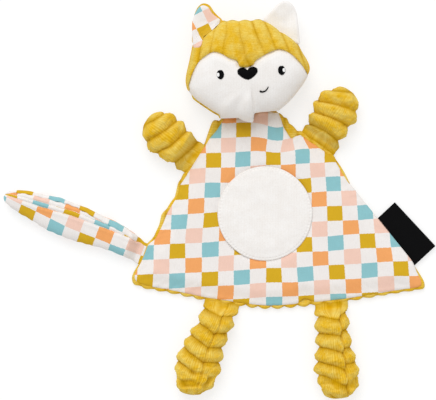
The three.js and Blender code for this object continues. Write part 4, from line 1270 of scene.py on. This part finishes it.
def forehead():
    """Straight lines from the mask line to the crown, raised on the dome, and back inside the cushion."""
    columns = 360
    start, end = (np.arctan2(p[1] - head_middle[1], p[0] - head_middle[0])
                  for p in (mask_line[0], mask_line[-1]))
    end = end + 2 * math.pi if end < start else end
    crown_turn = np.linspace(start, end, columns)
    crown_reach = np.interp(crown_turn % (2 * math.pi), turns, head_reach, period=2 * math.pi)
    crown_way = np.stack([np.cos(crown_turn), np.sin(crown_turn)], axis=-1)
    crown = head_middle[:2] + crown_reach[:, None] * crown_way
    crown = crown + (1.5 * (head_ribs(*crown.T) - 0.55))[:, None] * crown_way
    picked = np.linspace(0, len(mask_line) - 1, columns)
    lower = np.stack([np.interp(picked, np.arange(len(mask_line)), mask_line[:, k]) for k in (0, 1)], axis=-1)
    kept_in = np.minimum(1, 0.975 / head_share(*lower.T))[:, None]
    lower = head_middle[:2] + (lower - head_middle[:2]) * kept_in
    over = np.sin(np.linspace(0, math.pi / 2, 80))
    share = np.concatenate([over, [1.0, 0.97, 0.8, 0.5, 0.2, 0.02]])
    line = lower[:, None] * (1 - share[None, :, None]) + crown[:, None] * share[None, :, None]
    x, y = line[..., 0], line[..., 1]
    from_mask = line_distance(x, y, mask_line)
    ribs = 1 - (1 - head_ribs(x, y)) * (0.82 + 0.25 * hills(x, y, 11.0, 73))
    pile = 0.2 * hills(x, y, 1.3, 71) + 0.3 * hills(x, y, 5.0, 72)
    rim = ease(head_share(x, y), 1.0, 0.93)
    turned_in = turned_in_by * (1 - roll(from_mask, 2.4)) * ease(head_share(x, y), 0.98, 0.9)
    raised = (stands_proud + head_rib_height * (ribs - 0.4) + pile) * roll(from_mask, 3.5) * rim - turned_in
    raised = raised + lap_height * ridge(x, y) * roll(from_mask, 3.0)
    from_crown = (1 - share) * np.hypot(*(crown - lower).T)[:, None]
    top = head_seam_height + (dome(x, y) + raised - head_seam_height) * roll(from_crown, 2.5)
    is_inside = np.arange(len(share))[None, :] > len(over)
    lower_side = np.maximum(dome(x, y) - 3.0, head_seam_height - 1.0)
    z = np.where(is_inside, lower_side, np.maximum(top, head_seam_height))
    rings = np.stack([x, y, z], axis=-1)
    grain = np.stack(to_seam(neck, x, y)[::-1], axis=-1)
    grain = np.concatenate([grain, grain[:, :1]], axis=1)
    return bag("forehead_plush", rings, [rings[0].mean(axis=0), rings[-1].mean(axis=0)], grain, rib=ribs)


forehead_piece = dress(forehead(), brushed_plush, ["forehead_panel"])
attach(forehead_piece, "head")

# %% [markdown]
# ## The face
#
# The velour face is one bag round a middle between the nose and the chin. It runs a little way under the
# plush of the forehead, dips at that seam and swells beside it. A dart takes in the cloth under the chin:
# the cloth to its left lies over the cloth to its right and hangs a little lower, and soft folds fan out
# from its top. The height is one function, because the embroidery has to lie on the same surface. The chin
# lies over the neck seam, so the face is sewn there too.

# %% Face
face_middle = from_seam(neck, 0.03 * head_width, 0.26 * head_height, 0.0)
tuck_under = 2.2
chin_bends_until = 12.0
dart_top, dart_foot = (3.4, 20.0), (3.8, -6.5)
lap_step, lap_groove, fold_height = 1.7, 1.3, 0.8
mask_seam_depth, velour_swell = 1.7, 0.7


def face_reach():
    """Distance from the face's middle to its edge: the mask line where there is one, and else the jaw."""
    jaw = np.concatenate([head_outline, head_outline[:1]])
    to_mask, to_edge = reach_to(mask_line, face_middle[:2]), reach_to(jaw, face_middle[:2])
    free = np.where(np.isfinite(to_mask), to_edge - np.where(np.isfinite(to_mask), to_mask, 0), 0)
    return soften(np.minimum(to_mask + 0.2 + (tuck_under - 0.2) * ease(free, 4, 12), to_edge), 0.6)


def face_height(x, y):
    """The dome, lowered along the mask seam and swelling beside it, with the dart's lap and folds."""
    along, away = to_seam(neck, x, y)
    from_mask = line_distance(x, y, mask_line)
    beyond = away > np.interp(along, mask_local[::-1, 0], mask_local[::-1, 1])
    from_mask = np.where(beyond, 0, from_mask)
    seam_dip = mask_seam_depth * np.exp(-((from_mask / 1.5) ** 2)) - velour_swell * ease(from_mask, 1.0, 6.0)
    dart_lean = (dart_foot[0] - dart_top[0]) / (dart_top[1] - dart_foot[1])
    beside = along - dart_top[0] - dart_lean * (dart_top[1] - away)
    in_dart = ease(away, dart_top[1] + 2, dart_top[1] - 12)
    lap = lap_step * ease(beside, 0.3, -0.3) * np.exp(-np.abs(beside) / 11)
    lap = lap - lap_groove * np.exp(-(((beside - 0.7) / 0.9) ** 2))
    fan = np.arctan2(-(beside + 2.0), dart_top[1] + 4 - away)
    below_dart = ease(away, dart_top[1] - 2, dart_top[1] - 14) * ease(beside, 1, -3)
    folds = fold_height * np.sin(9.0 * fan + 0.6) * below_dart
    crumple = 0.45 * hills(along, away, 17.0, 81) + 0.2 * hills(along, away, 7.0, 82)
    rim = ease(head_share(x, y), 1.0, 0.9)
    raised = (in_dart * lap + folds * ease(np.abs(along), 26, 14) + crumple) * rim
    return dome(x, y) - seam_dip * ease(head_share(x, y), 1.0, 0.96) + raised


def face():
    """Out over the surface of the face from its middle to its edge, and back inside the cushion."""
    reach = face_reach()
    over = np.concatenate([np.linspace(0.015, 0.9, 96), np.linspace(0.905, 1, 24)])
    inside = np.array([1.0, 0.97, 0.8, 0.5, 0.2, 0.03])
    x, y = spread(np.concatenate([over, inside]), reach, face_middle)
    is_inside = np.arange(len(x))[:, None] >= len(over)
    lower = np.maximum(dome(x, y) - 4.0, head_seam_height - 0.8)
    z = np.where(is_inside, lower, np.maximum(face_height(x, y), head_seam_height))
    poles = [[*face_middle[:2], z[0].mean()], [*face_middle[:2], z[-1].mean()]]
    return bag("face_velour", np.stack([x, y, z], axis=-1), poles)


face_piece = dress(face(), velour, ["face_panel", "head_stuffing"])
sew(face_piece, neck, chin_bends_until)

# %% [markdown]
# ## The back of the head
#
# The back is a shallower cushion of corduroy with straight ribs, flat where it lies on the floor. Under the
# chin it lifts to leave room for the body's neck. It is cut a little larger than the face at the lower
# left, so a line of mustard shows there from above, and smaller at the lower right.

# %% Head back
nape_lift_from, nape_lift_to = 7.0, 2.0
chin_clearance = 9.8
back_inset, shown_by, hidden_by, back_groove = 0.3, 1.6, 1.5, 1.1


def head_back():
    """A bowl from the seam down to the floor: the cube root of 1 - share^3, lifted over the neck."""
    degrees = np.degrees(turns)
    shows = ease(degrees, 202, 208) * ease(degrees, 242, 237)
    hidden = ease(degrees, 255, 268) * ease(degrees, 335, 320)
    reach = head_reach - back_inset + shown_by * shows - hidden_by * hidden
    under = np.concatenate([np.linspace(0.02, 0.86, 70), np.linspace(0.87, 1, 34)])
    inside = np.array([0.985, 0.9, 0.6, 0.3, 0.05])
    x, y = spread(np.concatenate([under, inside]), reach, head_middle)
    share = np.concatenate([under, inside])[:, None] * np.ones_like(turns)
    along, away = to_seam(neck, x, y)
    ribs = rib(along / rib_pitch + 0.5 + 0.05 * hills(x, y, 20.0, 91))
    pile = 0.12 * hills(x, y, 1.5, 92)
    edge = ease(share, 1.0, 0.9)
    bowl = head_seam_height - (head_seam_height + 0.5) * (1 - share**3) ** (1 / 3)
    lift = chin_clearance * ease(away, nape_lift_from, nape_lift_to) + 0.3 * np.clip(-away, 0, 12)
    low = soft_above(bowl + (back_groove * (1 - ribs) + pile) * edge, 0.0, 0.5) - 0.1
    low = np.minimum(soft_above(low, lift, 1.0), head_seam_height)
    is_inside = np.arange(len(share))[:, None] >= len(under)
    z = np.where(is_inside, head_seam_height + 0.2, low)
    poles = [[*head_middle[:2], z[0].mean()], [*head_middle[:2], head_seam_height + 0.2]]
    grain = np.stack([away, along], axis=-1)
    grain = np.concatenate([grain, grain[:, :1]], axis=1)
    return bag("head_back_plush", np.stack([x, y, np.maximum(z, 0)], axis=-1), poles, grain, rib=ribs)


head_back_piece = dress(head_back(), plush, ["head_back_panel"])
sew(head_back_piece, neck, chin_bends_until)

# %% [markdown]
# ## The neck seam
#
# The plush of the head's back goes down into the neck seam of the body, and the head nods there. A short
# flat strip of plush makes that joint, from inside the body to inside the head.


# %% Neck strip
def neck_strip():
    """A flat rounded box carried from inside the body to inside the head."""
    half_width, half_height, starts, ends = 21.0, 0.8, -3.5, 9.0
    y, turn = np.meshgrid(np.linspace(starts, ends, 40), np.linspace(0, 2 * math.pi, 121), indexing="ij")
    across = np.sign(np.cos(turn)) * np.abs(np.cos(turn)) ** 0.25
    upright = np.sign(np.sin(turn)) * np.abs(np.sin(turn)) ** 0.5
    x = across * half_width
    ribs = rib(x / rib_pitch + 0.5)
    z = hinge_height + upright * half_height * (0.75 + 0.25 * ribs) + 0.1 * hills(x, y, 1.5, 95)
    rings = from_seam(neck, x, y, z)[:, :-1]
    poles = [rings[0].mean(axis=0), rings[-1].mean(axis=0)]
    return bag("neck_strip", rings, poles, np.stack([y, x], axis=-1), rib=ribs[:, :-1])


strip = neck_strip()
strip.data.materials.append(plush)
sew(strip, neck)
print("neck strip:", len(strip.data.polygons), "faces")

# %% [markdown]
# ## The cut of the ears
#
# Each ear is cut along a smooth line that was read off the photograph, a few places long. The front layer
# of the left ear was cut longer and laps over the forehead and down its side, along a line of its own. The
# print on it was cut askew, so its squares are turned.

# %% Lines of the ears
print_turn = math.radians(26)
print_place = np.array([-45.4, 137.6])
ear_square = 10.0
left_ear_line = [(-55, 134), (-55.3, 144), (-53.3, 151.6), (-50.9, 156.5), (-47.1, 159.2), (-42.1, 157.7),
                 (-38, 152), (-32.4, 146.9)]
right_ear_line = [(-1, 148), (4.6, 153.1), (9.9, 158.8), (14.9, 161.3), (20, 159.2), (23.6, 153.1),
                  (25.3, 141.9), (26.3, 130.5)]
lap_line = [(-55, 135), (-55, 131.9), (-54.6, 125.6), (-51.3, 124.6), (-48.2, 126.2), (-46.8, 133.4),
            (-38.8, 138.9), (-33.2, 144), (-32.4, 146.9)]


def ear_squares(x, y):
    """The count of squares on an ear: the distance from a corner of the print, turned and divided by a
    square."""
    dx, dy = (x - print_place[0]) / ear_square, (y - print_place[1]) / ear_square
    turned = (dx * math.cos(print_turn) + dy * math.sin(print_turn),
              dy * math.cos(print_turn) - dx * math.sin(print_turn))
    return np.stack([turned[0] + 0.5, turned[1] + 0.5, np.zeros_like(x)], axis=-1)


print("the left ear with its lap is", round(left_ear_line[4][1] - lap_line[3][1], 1), "mm long")

# %% [markdown]
# ## Ears
#
# Each ear is two thin layers sewn round their edge and cupped a little forward, with its base pushed under
# the edge of the forehead. The left one is printed in front with mustard plush behind, which shows past the
# print along its upper edge. The right one is velour on both sides. A layer is a thin cushion: flat towards
# its partner, and rounded on its own side.

# %% Ear layers
ear_sheet, ear_cup, ear_crease = 1.9, 2.6, 0.8
tucked_in = 3.2


def ear_layer(name, node, seam, side, line, reveal, laps, cloth_marks):
    """A thin cushion round the ear's middle, cut along a line. side is 1 for the front layer and -1 for the
    back one. A layer that laps over the forehead is cut along the lap line there."""
    height_local = limb_measure(node, seam)[0]
    middle = from_seam(seam, 0.0, 0.42 * height_local, 0.0)
    base = felt_reach([node], middle, seam[0][2] + side * 0.6)
    headwards = np.clip(-np.cos(turns) * seam[2][0] - np.sin(turns) * seam[2][1], 0, 1)
    reach = base + tucked_in * ease(headwards, 0.2, 0.7)
    for cut in [smooth_line(line, 60)] + [np.array(lap_line, float)] * laps:
        to_cut = reach_to(cut, middle[:2])
        reach = np.where(np.isfinite(to_cut), to_cut, reach)
    reach = soften(reach, 1.8) - reveal * np.clip(np.cos(turns - math.radians(40)), 0, 1)
    over = np.concatenate([np.linspace(0.03, 0.8, 24), np.linspace(0.83, 1, 16)])
    inside = np.array([1.0, 0.9, 0.5, 0.05])
    x, y = spread(np.concatenate([over, inside]), reach, middle)
    edge = edge_distance(x, y, outline_of(reach, middle))
    along, away = to_seam(seam, x, y)
    half = np.abs(along).max()
    crease = ear_crease * np.exp(-((along / 4.0) ** 2)) * ease(away, 1, 7)
    cup = ear_cup * (along / half) ** 2 * ease(away, 0, 9) - 0.05 * away - crease
    uneven = 0.25 * hills(x, y, 6.0, 96) + (0.12 * hills(x, y, 1.4, 97) if "rib" in cloth_marks else 0)
    thickness = ear_sheet * roll(edge, 2.2) + uneven * ease(edge, 0.5, 3)
    is_inside = np.arange(len(x))[:, None] >= len(over)
    z = seam[0][2] + cup + side * np.where(is_inside, 0.05, 0.05 + np.maximum(thickness, 0.0))
    if laps:
        over_head = dome(x, y) + np.where(is_inside, 0.3, 0.5 + np.maximum(thickness, 0.0))
        z = np.where(head_share(x, y) < 1, np.maximum(z, over_head), z)
    poles = [[*middle[:2], z[0].mean()], [*middle[:2], z[-1].mean()]]
    marks = {}
    if "rib" in cloth_marks:
        marks["rib"] = np.full(x.shape, 0.7)
    if "squares" in cloth_marks:
        marks["squares"] = ear_squares(x, y)
    return bag(name, np.stack([x, y, z], axis=-1), poles, **marks)


ear_layers = [
    ("left", "front", 1, left_ear_line, 1.8, True, printed_cloth, "check_print", ("squares",)),
    ("left", "back", -1, left_ear_line, 0.0, False, plush, "mustard_plush", ("rib",)),
    ("right", "front", 1, right_ear_line, 0.0, False, velour, "white_velour", ()),
    ("right", "back", -1, right_ear_line, 0.0, False, velour, "white_velour", ()),
]
for side_name, layer, side, line, reveal, laps, cloth, slot_name, cloth_marks in ear_layers:
    seam = seam_of(side_name + "_ear_fold")
    node = f"{side_name}_ear_{layer}"
    piece = ear_layer(f"{side_name}_ear_{layer}_cloth", node, seam, side, line, reveal, laps, cloth_marks)
    dress(piece, cloth, [node])
    sew(piece, seam)

# %% [markdown]
# ## Thread
#
# Embroidery thread is twisted from fine strands. Black and white thread share one finish with different
# colours: strands a shade apart, a shallow bump and hardly any gloss.


# %% Black and white thread
def thread_material(name, shade, light):
    """Twisted thread: a fine noise mixes a shade and a lighter one, and raises the strands."""
    material, tree, shader = new_material(name)
    where = add_node(tree, "ShaderNodeTexCoord").outputs["Object"]
    strands = add_node(tree, "ShaderNodeTexNoise",
                       {"Vector": where, "Scale": 2.2 / mm, "Detail": 2.0}).outputs[0]
    tree.links.new(mix_node(tree, strands, shade, light), shader.inputs["Base Color"])
    raise_pile(tree, shader, strands, 0.12, 0.4)
    shader.inputs["Roughness"].default_value = 0.55
    shader.inputs["Specular IOR Level"].default_value = 0.06
    return material


black_thread = thread_material("black_embroidery_thread", colour("020203"), colour("0a0a0c"))
white_thread = thread_material("white_embroidery_thread", colour("f3f3f1"), colour("ffffff"))
print("threads:", black_thread.name, "and", white_thread.name)

# %% [markdown]
# ## Satin stitch
#
# Eyes and nose are satin stitch: straight threads side by side, each going over the cloth and down into it
# at both ends. Every thread is its own little tube on the face, and the outline of the shape says where it
# starts and ends. All the tubes of a shape have the same number of rings, so they are worked out together,
# as copies of one bag.

# %% Satin stitch across an outline
thread_pitch = 0.42
thread_radius = 0.27


def satin(name, outline, height, upright):
    """Threads across an outline given in the head's own x and y, along y where upright and else along x."""
    run, over = (1, 0) if upright else (0, 1)
    low, high = outline[:, over].min(), outline[:, over].max()
    rows = np.arange(low + thread_pitch / 2, high, thread_pitch)
    a, b = outline, np.roll(outline, -1, axis=0)
    between = (a[:, over] - rows[:, None]) * (b[:, over] - rows[:, None]) <= 0
    t = (rows[:, None] - a[:, over]) / np.where(a[:, over] == b[:, over], 1, b[:, over] - a[:, over])
    met = a[:, run] + t * (b[:, run] - a[:, run])
    first = np.where(between, met, np.inf).min(axis=1)
    last = np.where(between, met, -np.inf).max(axis=1)
    stations, sides = np.linspace(-1, 1, 11), 8
    turn = np.arange(sides) * 2 * math.pi / sides
    bow = 1 - stations**6
    along = (first + last)[:, None] / 2 + ((last - first)[:, None] / 2 + 0.3) * stations
    across = rows[:, None] + 0 * along
    local = (across, along) if upright else (along, across)
    middle = from_seam(neck, *local, 0.0)
    lift = face_height(middle[..., 0], middle[..., 1]) + height - 0.7 * (1 - bow)
    radius = thread_radius * (0.25 + 0.75 * bow) * (1 + 0.12 * np.sin(rows * 7.3))[:, None]
    side_way, up_way = np.cos(turn) * radius[..., None], np.sin(turn) * radius[..., None]
    shift = (side_way, 0 * side_way) if upright else (0 * side_way, side_way)
    rings = from_seam(neck, local[0][..., None] + shift[0], local[1][..., None] + shift[1],
                      lift[..., None] + up_way)
    poles = np.stack([rings[:, 0].mean(axis=1), rings[:, -1].mean(axis=1)], axis=1)
    print(name, "has", len(rows), "threads")
    return bag(name, rings, poles)


def node_middle(node):
    """The middle of a CAD piece in the head's own x and y, and its size."""
    low, high = (np.array(corner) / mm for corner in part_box(node))
    return under_lens(to_seam(neck, *((low + high) / 2)[:2])), (high - low)[:2]


def oval_at(node):
    """An oval as large as a CAD piece, in the head's own x and y."""
    middle, size = node_middle(node)
    angle = np.linspace(0, 2 * math.pi, 60, endpoint=False)
    return middle + np.stack([np.cos(angle), np.sin(angle)], axis=-1) * size / 2


print("an eye is", *np.round(node_middle("left_eye")[1], 1), "mm across and high")

# %% [markdown]
# ## Eyes, nose and smile
#
# The nose is a flat heart with its point down, drawn round a few places as the mask line is. The smile is
# one thin line of thread that tapers upwards, so a tube carried along a curve makes it.

# %% Eyes, nose and smile
right_lobe_shares = [(0, -0.5), (0.17, -0.41), (0.34, -0.22), (0.47, 0.02), (0.49, 0.26), (0.37, 0.45),
                     (0.2, 0.49), (0.07, 0.4), (0, 0.27)]
nose_shares = right_lobe_shares + [(-x, y) for x, y in right_lobe_shares[-2::-1]]
smile_shares = [(0.106, 0.219), (0.128, 0.209), (0.156, 0.22), (0.179, 0.255)]
embroidery_height, highlight_height, nose_height = 0.35, 0.7, 0.45
for side_name in ("left", "right"):
    eye, glint = side_name + "_eye", side_name + "_eye_highlight"
    piece = satin(eye + "_threads", oval_at(eye), embroidery_height, upright=False)
    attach(dress(piece, black_thread, [eye]), "head")
    piece = satin(glint + "_threads", oval_at(glint), highlight_height, upright=True)
    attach(dress(piece, white_thread, [glint]), "head")
nose_middle, nose_size = node_middle("nose")
nose_outline = nose_middle + (0.0, -0.6) + smooth_line(nose_shares, 120)[:-1] * nose_size * (1.08, 1.13)
piece = satin("nose_threads", nose_outline, nose_height, upright=True)
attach(dress(piece, black_thread, ["nose"]), "head")


def smile():
    """A tube along a curve on the face, thick at its start and fine at its end."""
    stations, sides = 40, 10
    line = smooth_line(under_lens(np.array(smile_shares) * (head_width, head_height)), stations)
    way = np.gradient(line, axis=0)
    beside = np.stack([way[:, 1], -way[:, 0]], axis=-1) / np.hypot(way[:, 0], way[:, 1])[:, None]
    turn = np.arange(sides) * 2 * math.pi / sides
    from_end = np.minimum(np.arange(stations), np.arange(stations)[::-1])
    radius = 0.75 * np.linspace(1, 0.45, stations) * roll(from_end + 0.3, 3)
    flat = line[:, None] + beside[:, None] * (radius[:, None] * np.cos(turn))[..., None]
    rings = from_seam(neck, flat[..., 0], flat[..., 1], 0.0)
    on_face = face_height(rings[..., 0], rings[..., 1])
    rings[..., 2] = on_face + embroidery_height + 0.6 * radius[:, None] * np.sin(turn)
    return bag("smile_thread", rings, [rings[0].mean(axis=0), rings[-1].mean(axis=0)])


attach(dress(smile(), black_thread, ["smile"]), "head")

# %% [markdown]
# ## The ribbon loop
#
# A black ribbon is folded in half, with both ends sewn into the side seam, a little askew. It is left bare.
# A ribbon is a flat section carried along a folded path: out below, round the fold and back on top. Its
# finish is a fine weave of ribs, nearly matt.


# %% Ribbon
def ribbon_material():
    """Black woven ribbon: ribs across it, crossed by finer warp threads."""
    material, tree, shader = new_material("black_woven_ribbon")
    where = add_node(tree, "ShaderNodeTexCoord").outputs["UV"]
    ribs = add_node(tree, "ShaderNodeTexWave", {"Vector": where, "Scale": 0.42, "Distortion": 0.4},
                    bands_direction="Y")
    warp = add_node(tree, "ShaderNodeTexWave", {"Vector": where, "Scale": 0.7, "Distortion": 0.6},
                    bands_direction="X")
    weave = sum_node(tree, "MULTIPLY_ADD", warp.outputs["Fac"], 0.4, ribs.outputs["Fac"])
    tree.links.new(mix_node(tree, sum_node(tree, "MULTIPLY", weave, 0.6), colour("010102"), colour("070708")),
                   shader.inputs["Base Color"])
    raise_pile(tree, shader, weave, 0.15, 0.5)
    shader.inputs["Roughness"].default_value = 0.6
    shader.inputs["Specular IOR Level"].default_value = 0.06
    return material


def ribbon():
    """The strip's section, a thin rounded box, carried out, round the fold and back."""
    seam = seam_of("label_swing")
    points = np.array([v.co for v in frame["nodes"]["side_label"].data.vertices]) / mm
    along, away = to_seam(seam, points[:, 0], points[:, 1])
    seat_half, reach = np.abs(along).max(), away.max()
    half_width = 1.03 * seat_half
    thickness, fold, askew = 0.55, 0.75, math.radians(4.0)
    out = np.linspace(-2.6, reach - fold, 40)
    bend = np.linspace(-math.pi / 2, math.pi / 2, 14)[1:-1]
    path_y = np.concatenate([out, reach - fold + fold * np.cos(bend), out[::-1]])
    path_z = np.concatenate([0 * out - fold, fold * np.sin(bend), 0 * out + fold])
    way = np.stack([np.gradient(path_y), np.gradient(path_z)], axis=-1)
    way = way / np.hypot(way[:, 0], way[:, 1])[:, None]
    turn = np.linspace(0, 2 * math.pi, 97)
    across = np.sign(np.cos(turn)) * np.abs(np.cos(turn)) ** 0.12 * half_width
    raised = np.sign(np.sin(turn)) * np.abs(np.sin(turn)) ** 0.4 * thickness / 2
    pinch = 0.35 + 0.65 * ease(path_y, -1, 4)
    y = path_y[:, None] - way[:, 1:] * raised
    wave = 0.35 * np.sin(across / 9.0 + 0.6) * ease(path_y, 0, 18)[:, None]
    z = hinge_height + 0.35 + path_z[:, None] * pinch[:, None] + way[:, :1] * raised + wave
    dx, dy = across - half_width, y - reach
    x_askew = seat_half + dx * math.cos(askew) - dy * math.sin(askew)
    y_askew = reach + dx * math.sin(askew) + dy * math.cos(askew)
    rings = from_seam(seam, x_askew, y_askew, np.maximum(z, 0.35))[:, :-1]
    run = np.cumsum(np.hypot(np.diff(path_y, prepend=path_y[0]), np.diff(path_z, prepend=path_z[0])))
    grain = np.stack([across + 0 * y, run[:, None] + 0 * y], axis=-1)
    print("the ribbon, unfolded, in mm:", round(2 * float(half_width), 1), "by", round(float(run[-1]), 1))
    piece = bag("side_ribbon", rings, [rings[0].mean(axis=0), rings[-1].mean(axis=0)], grain)
    return piece, seam, (2 * half_width * mm, float(run[-1]) * mm)


ribbon_piece, ribbon_seam, ribbon_cut = ribbon()
dress(ribbon_piece, ribbon_material(), ["side_label"])
sew(ribbon_piece, ribbon_seam)

# %% [markdown]
# ## The table
#
# The toy lies on a white table. It looks white to the camera and still takes the toy's shadow, but it glows
# a little there, so that the shadow stays faint. Rays that mirror or pass through glass see it that way too.
# To all other rays it is plain pale paint, which throws a little light back under the toy.


# %% Table
def background_rays(tree):
    """1 for the rays that see a plain white background: those of the camera, and those that mirror or pass
    through glass."""
    rays = add_node(tree, "ShaderNodeLightPath").outputs
    mirrored = sum_node(tree, "MAXIMUM", rays["Is Glossy Ray"], rays["Is Transmission Ray"])
    return sum_node(tree, "MAXIMUM", rays["Is Camera Ray"], mirrored)


half_table = 6000
below_toy = 0.2
paint, seen_paint, glow = 0.93, 0.36, 0.67
corners = np.array([(-1, -1), (1, -1), (1, 1), (-1, 1)]) * half_table
table_mesh = bpy.data.meshes.new("table")
table_mesh.from_pydata([(x * mm, y * mm, -below_toy * mm) for x, y in corners], [], [(0, 1, 2, 3)])
table = bpy.data.objects.new("table", table_mesh)
bpy.context.scene.collection.objects.link(table)
table_finish, tree, shader = new_material("white_table")
shader.inputs["Roughness"].default_value = 1.0
shader.inputs["Specular IOR Level"].default_value = 0.0
shader.inputs["Emission Color"].default_value = (1, 1, 1, 1)
seen = background_rays(tree)
greys = ((level, level, level, 1) for level in (paint, seen_paint))
tree.links.new(mix_node(tree, seen, *greys), shader.inputs["Base Color"])
tree.links.new(sum_node(tree, "MULTIPLY", seen, glow), shader.inputs["Emission Strength"])
table_mesh.materials.append(table_finish)
print("the table lies", below_toy, "mm under the toy")

# %% [markdown]
# ## The light
#
# The world gives most of the light, from everywhere, and one wide sun from beyond the head models the ribs.
# Together they light a level surface at about 1, so colours render as they are written. The camera, and
# rays that mirror or pass through glass, see the world as plain white.

# %% World and sun
world = bpy.data.worlds.new("soft_light")
bpy.context.scene.world = world
world.use_nodes = True
tree = world.node_tree
world_strength = 0.7
strength = sum_node(tree, "MULTIPLY_ADD", background_rays(tree), 1 - world_strength, world_strength)
tree.links.new(strength, tree.nodes["Background"].inputs["Strength"])
tree.nodes["Background"].inputs["Color"].default_value = (1, 1, 1, 1)

sun_data = bpy.data.lights.new("window", "SUN")
sun_data.energy = 1.3
sun_data.angle = math.radians(40)
sun = bpy.data.objects.new("window", sun_data)
sun.rotation_euler = Vector((-0.2, 0.85, 1.0)).to_track_quat("Z", "Y").to_euler()
bpy.context.scene.collection.objects.link(sun)
print("light: world", world_strength, "and sun", round(sun_data.energy, 2))

# %% [markdown]
# ## The camera
#
# The photograph was taken from straight above. A long lens from two and a half metres keeps the raised head
# at nearly the same scale as the body. The picture is 331 mm wide at the height of the cloth, and its
# middle lies left of the belly, because the tail reaches out on that side.

# %% Camera
view_width = 331.4
sensor_width = 36
camera_data = bpy.data.cameras.new("camera")
camera_data.sensor_width = sensor_width
camera_data.lens = sensor_width * (camera_height - front_high) / view_width
camera_data.clip_end = 20
camera = bpy.data.objects.new("camera", camera_data)
camera.location = Vector((*view_middle, camera_height)) * mm
bpy.context.scene.collection.objects.link(camera)
bpy.context.scene.camera = camera
bpy.context.scene.view_settings.view_transform = "Standard"
print("lens:", round(camera_data.lens), "mm")

# %% [markdown]
#
# Cloth may stand a little proud of the imported solids, but the toy must keep its size.

# %% The end
bpy.context.view_layer.update()
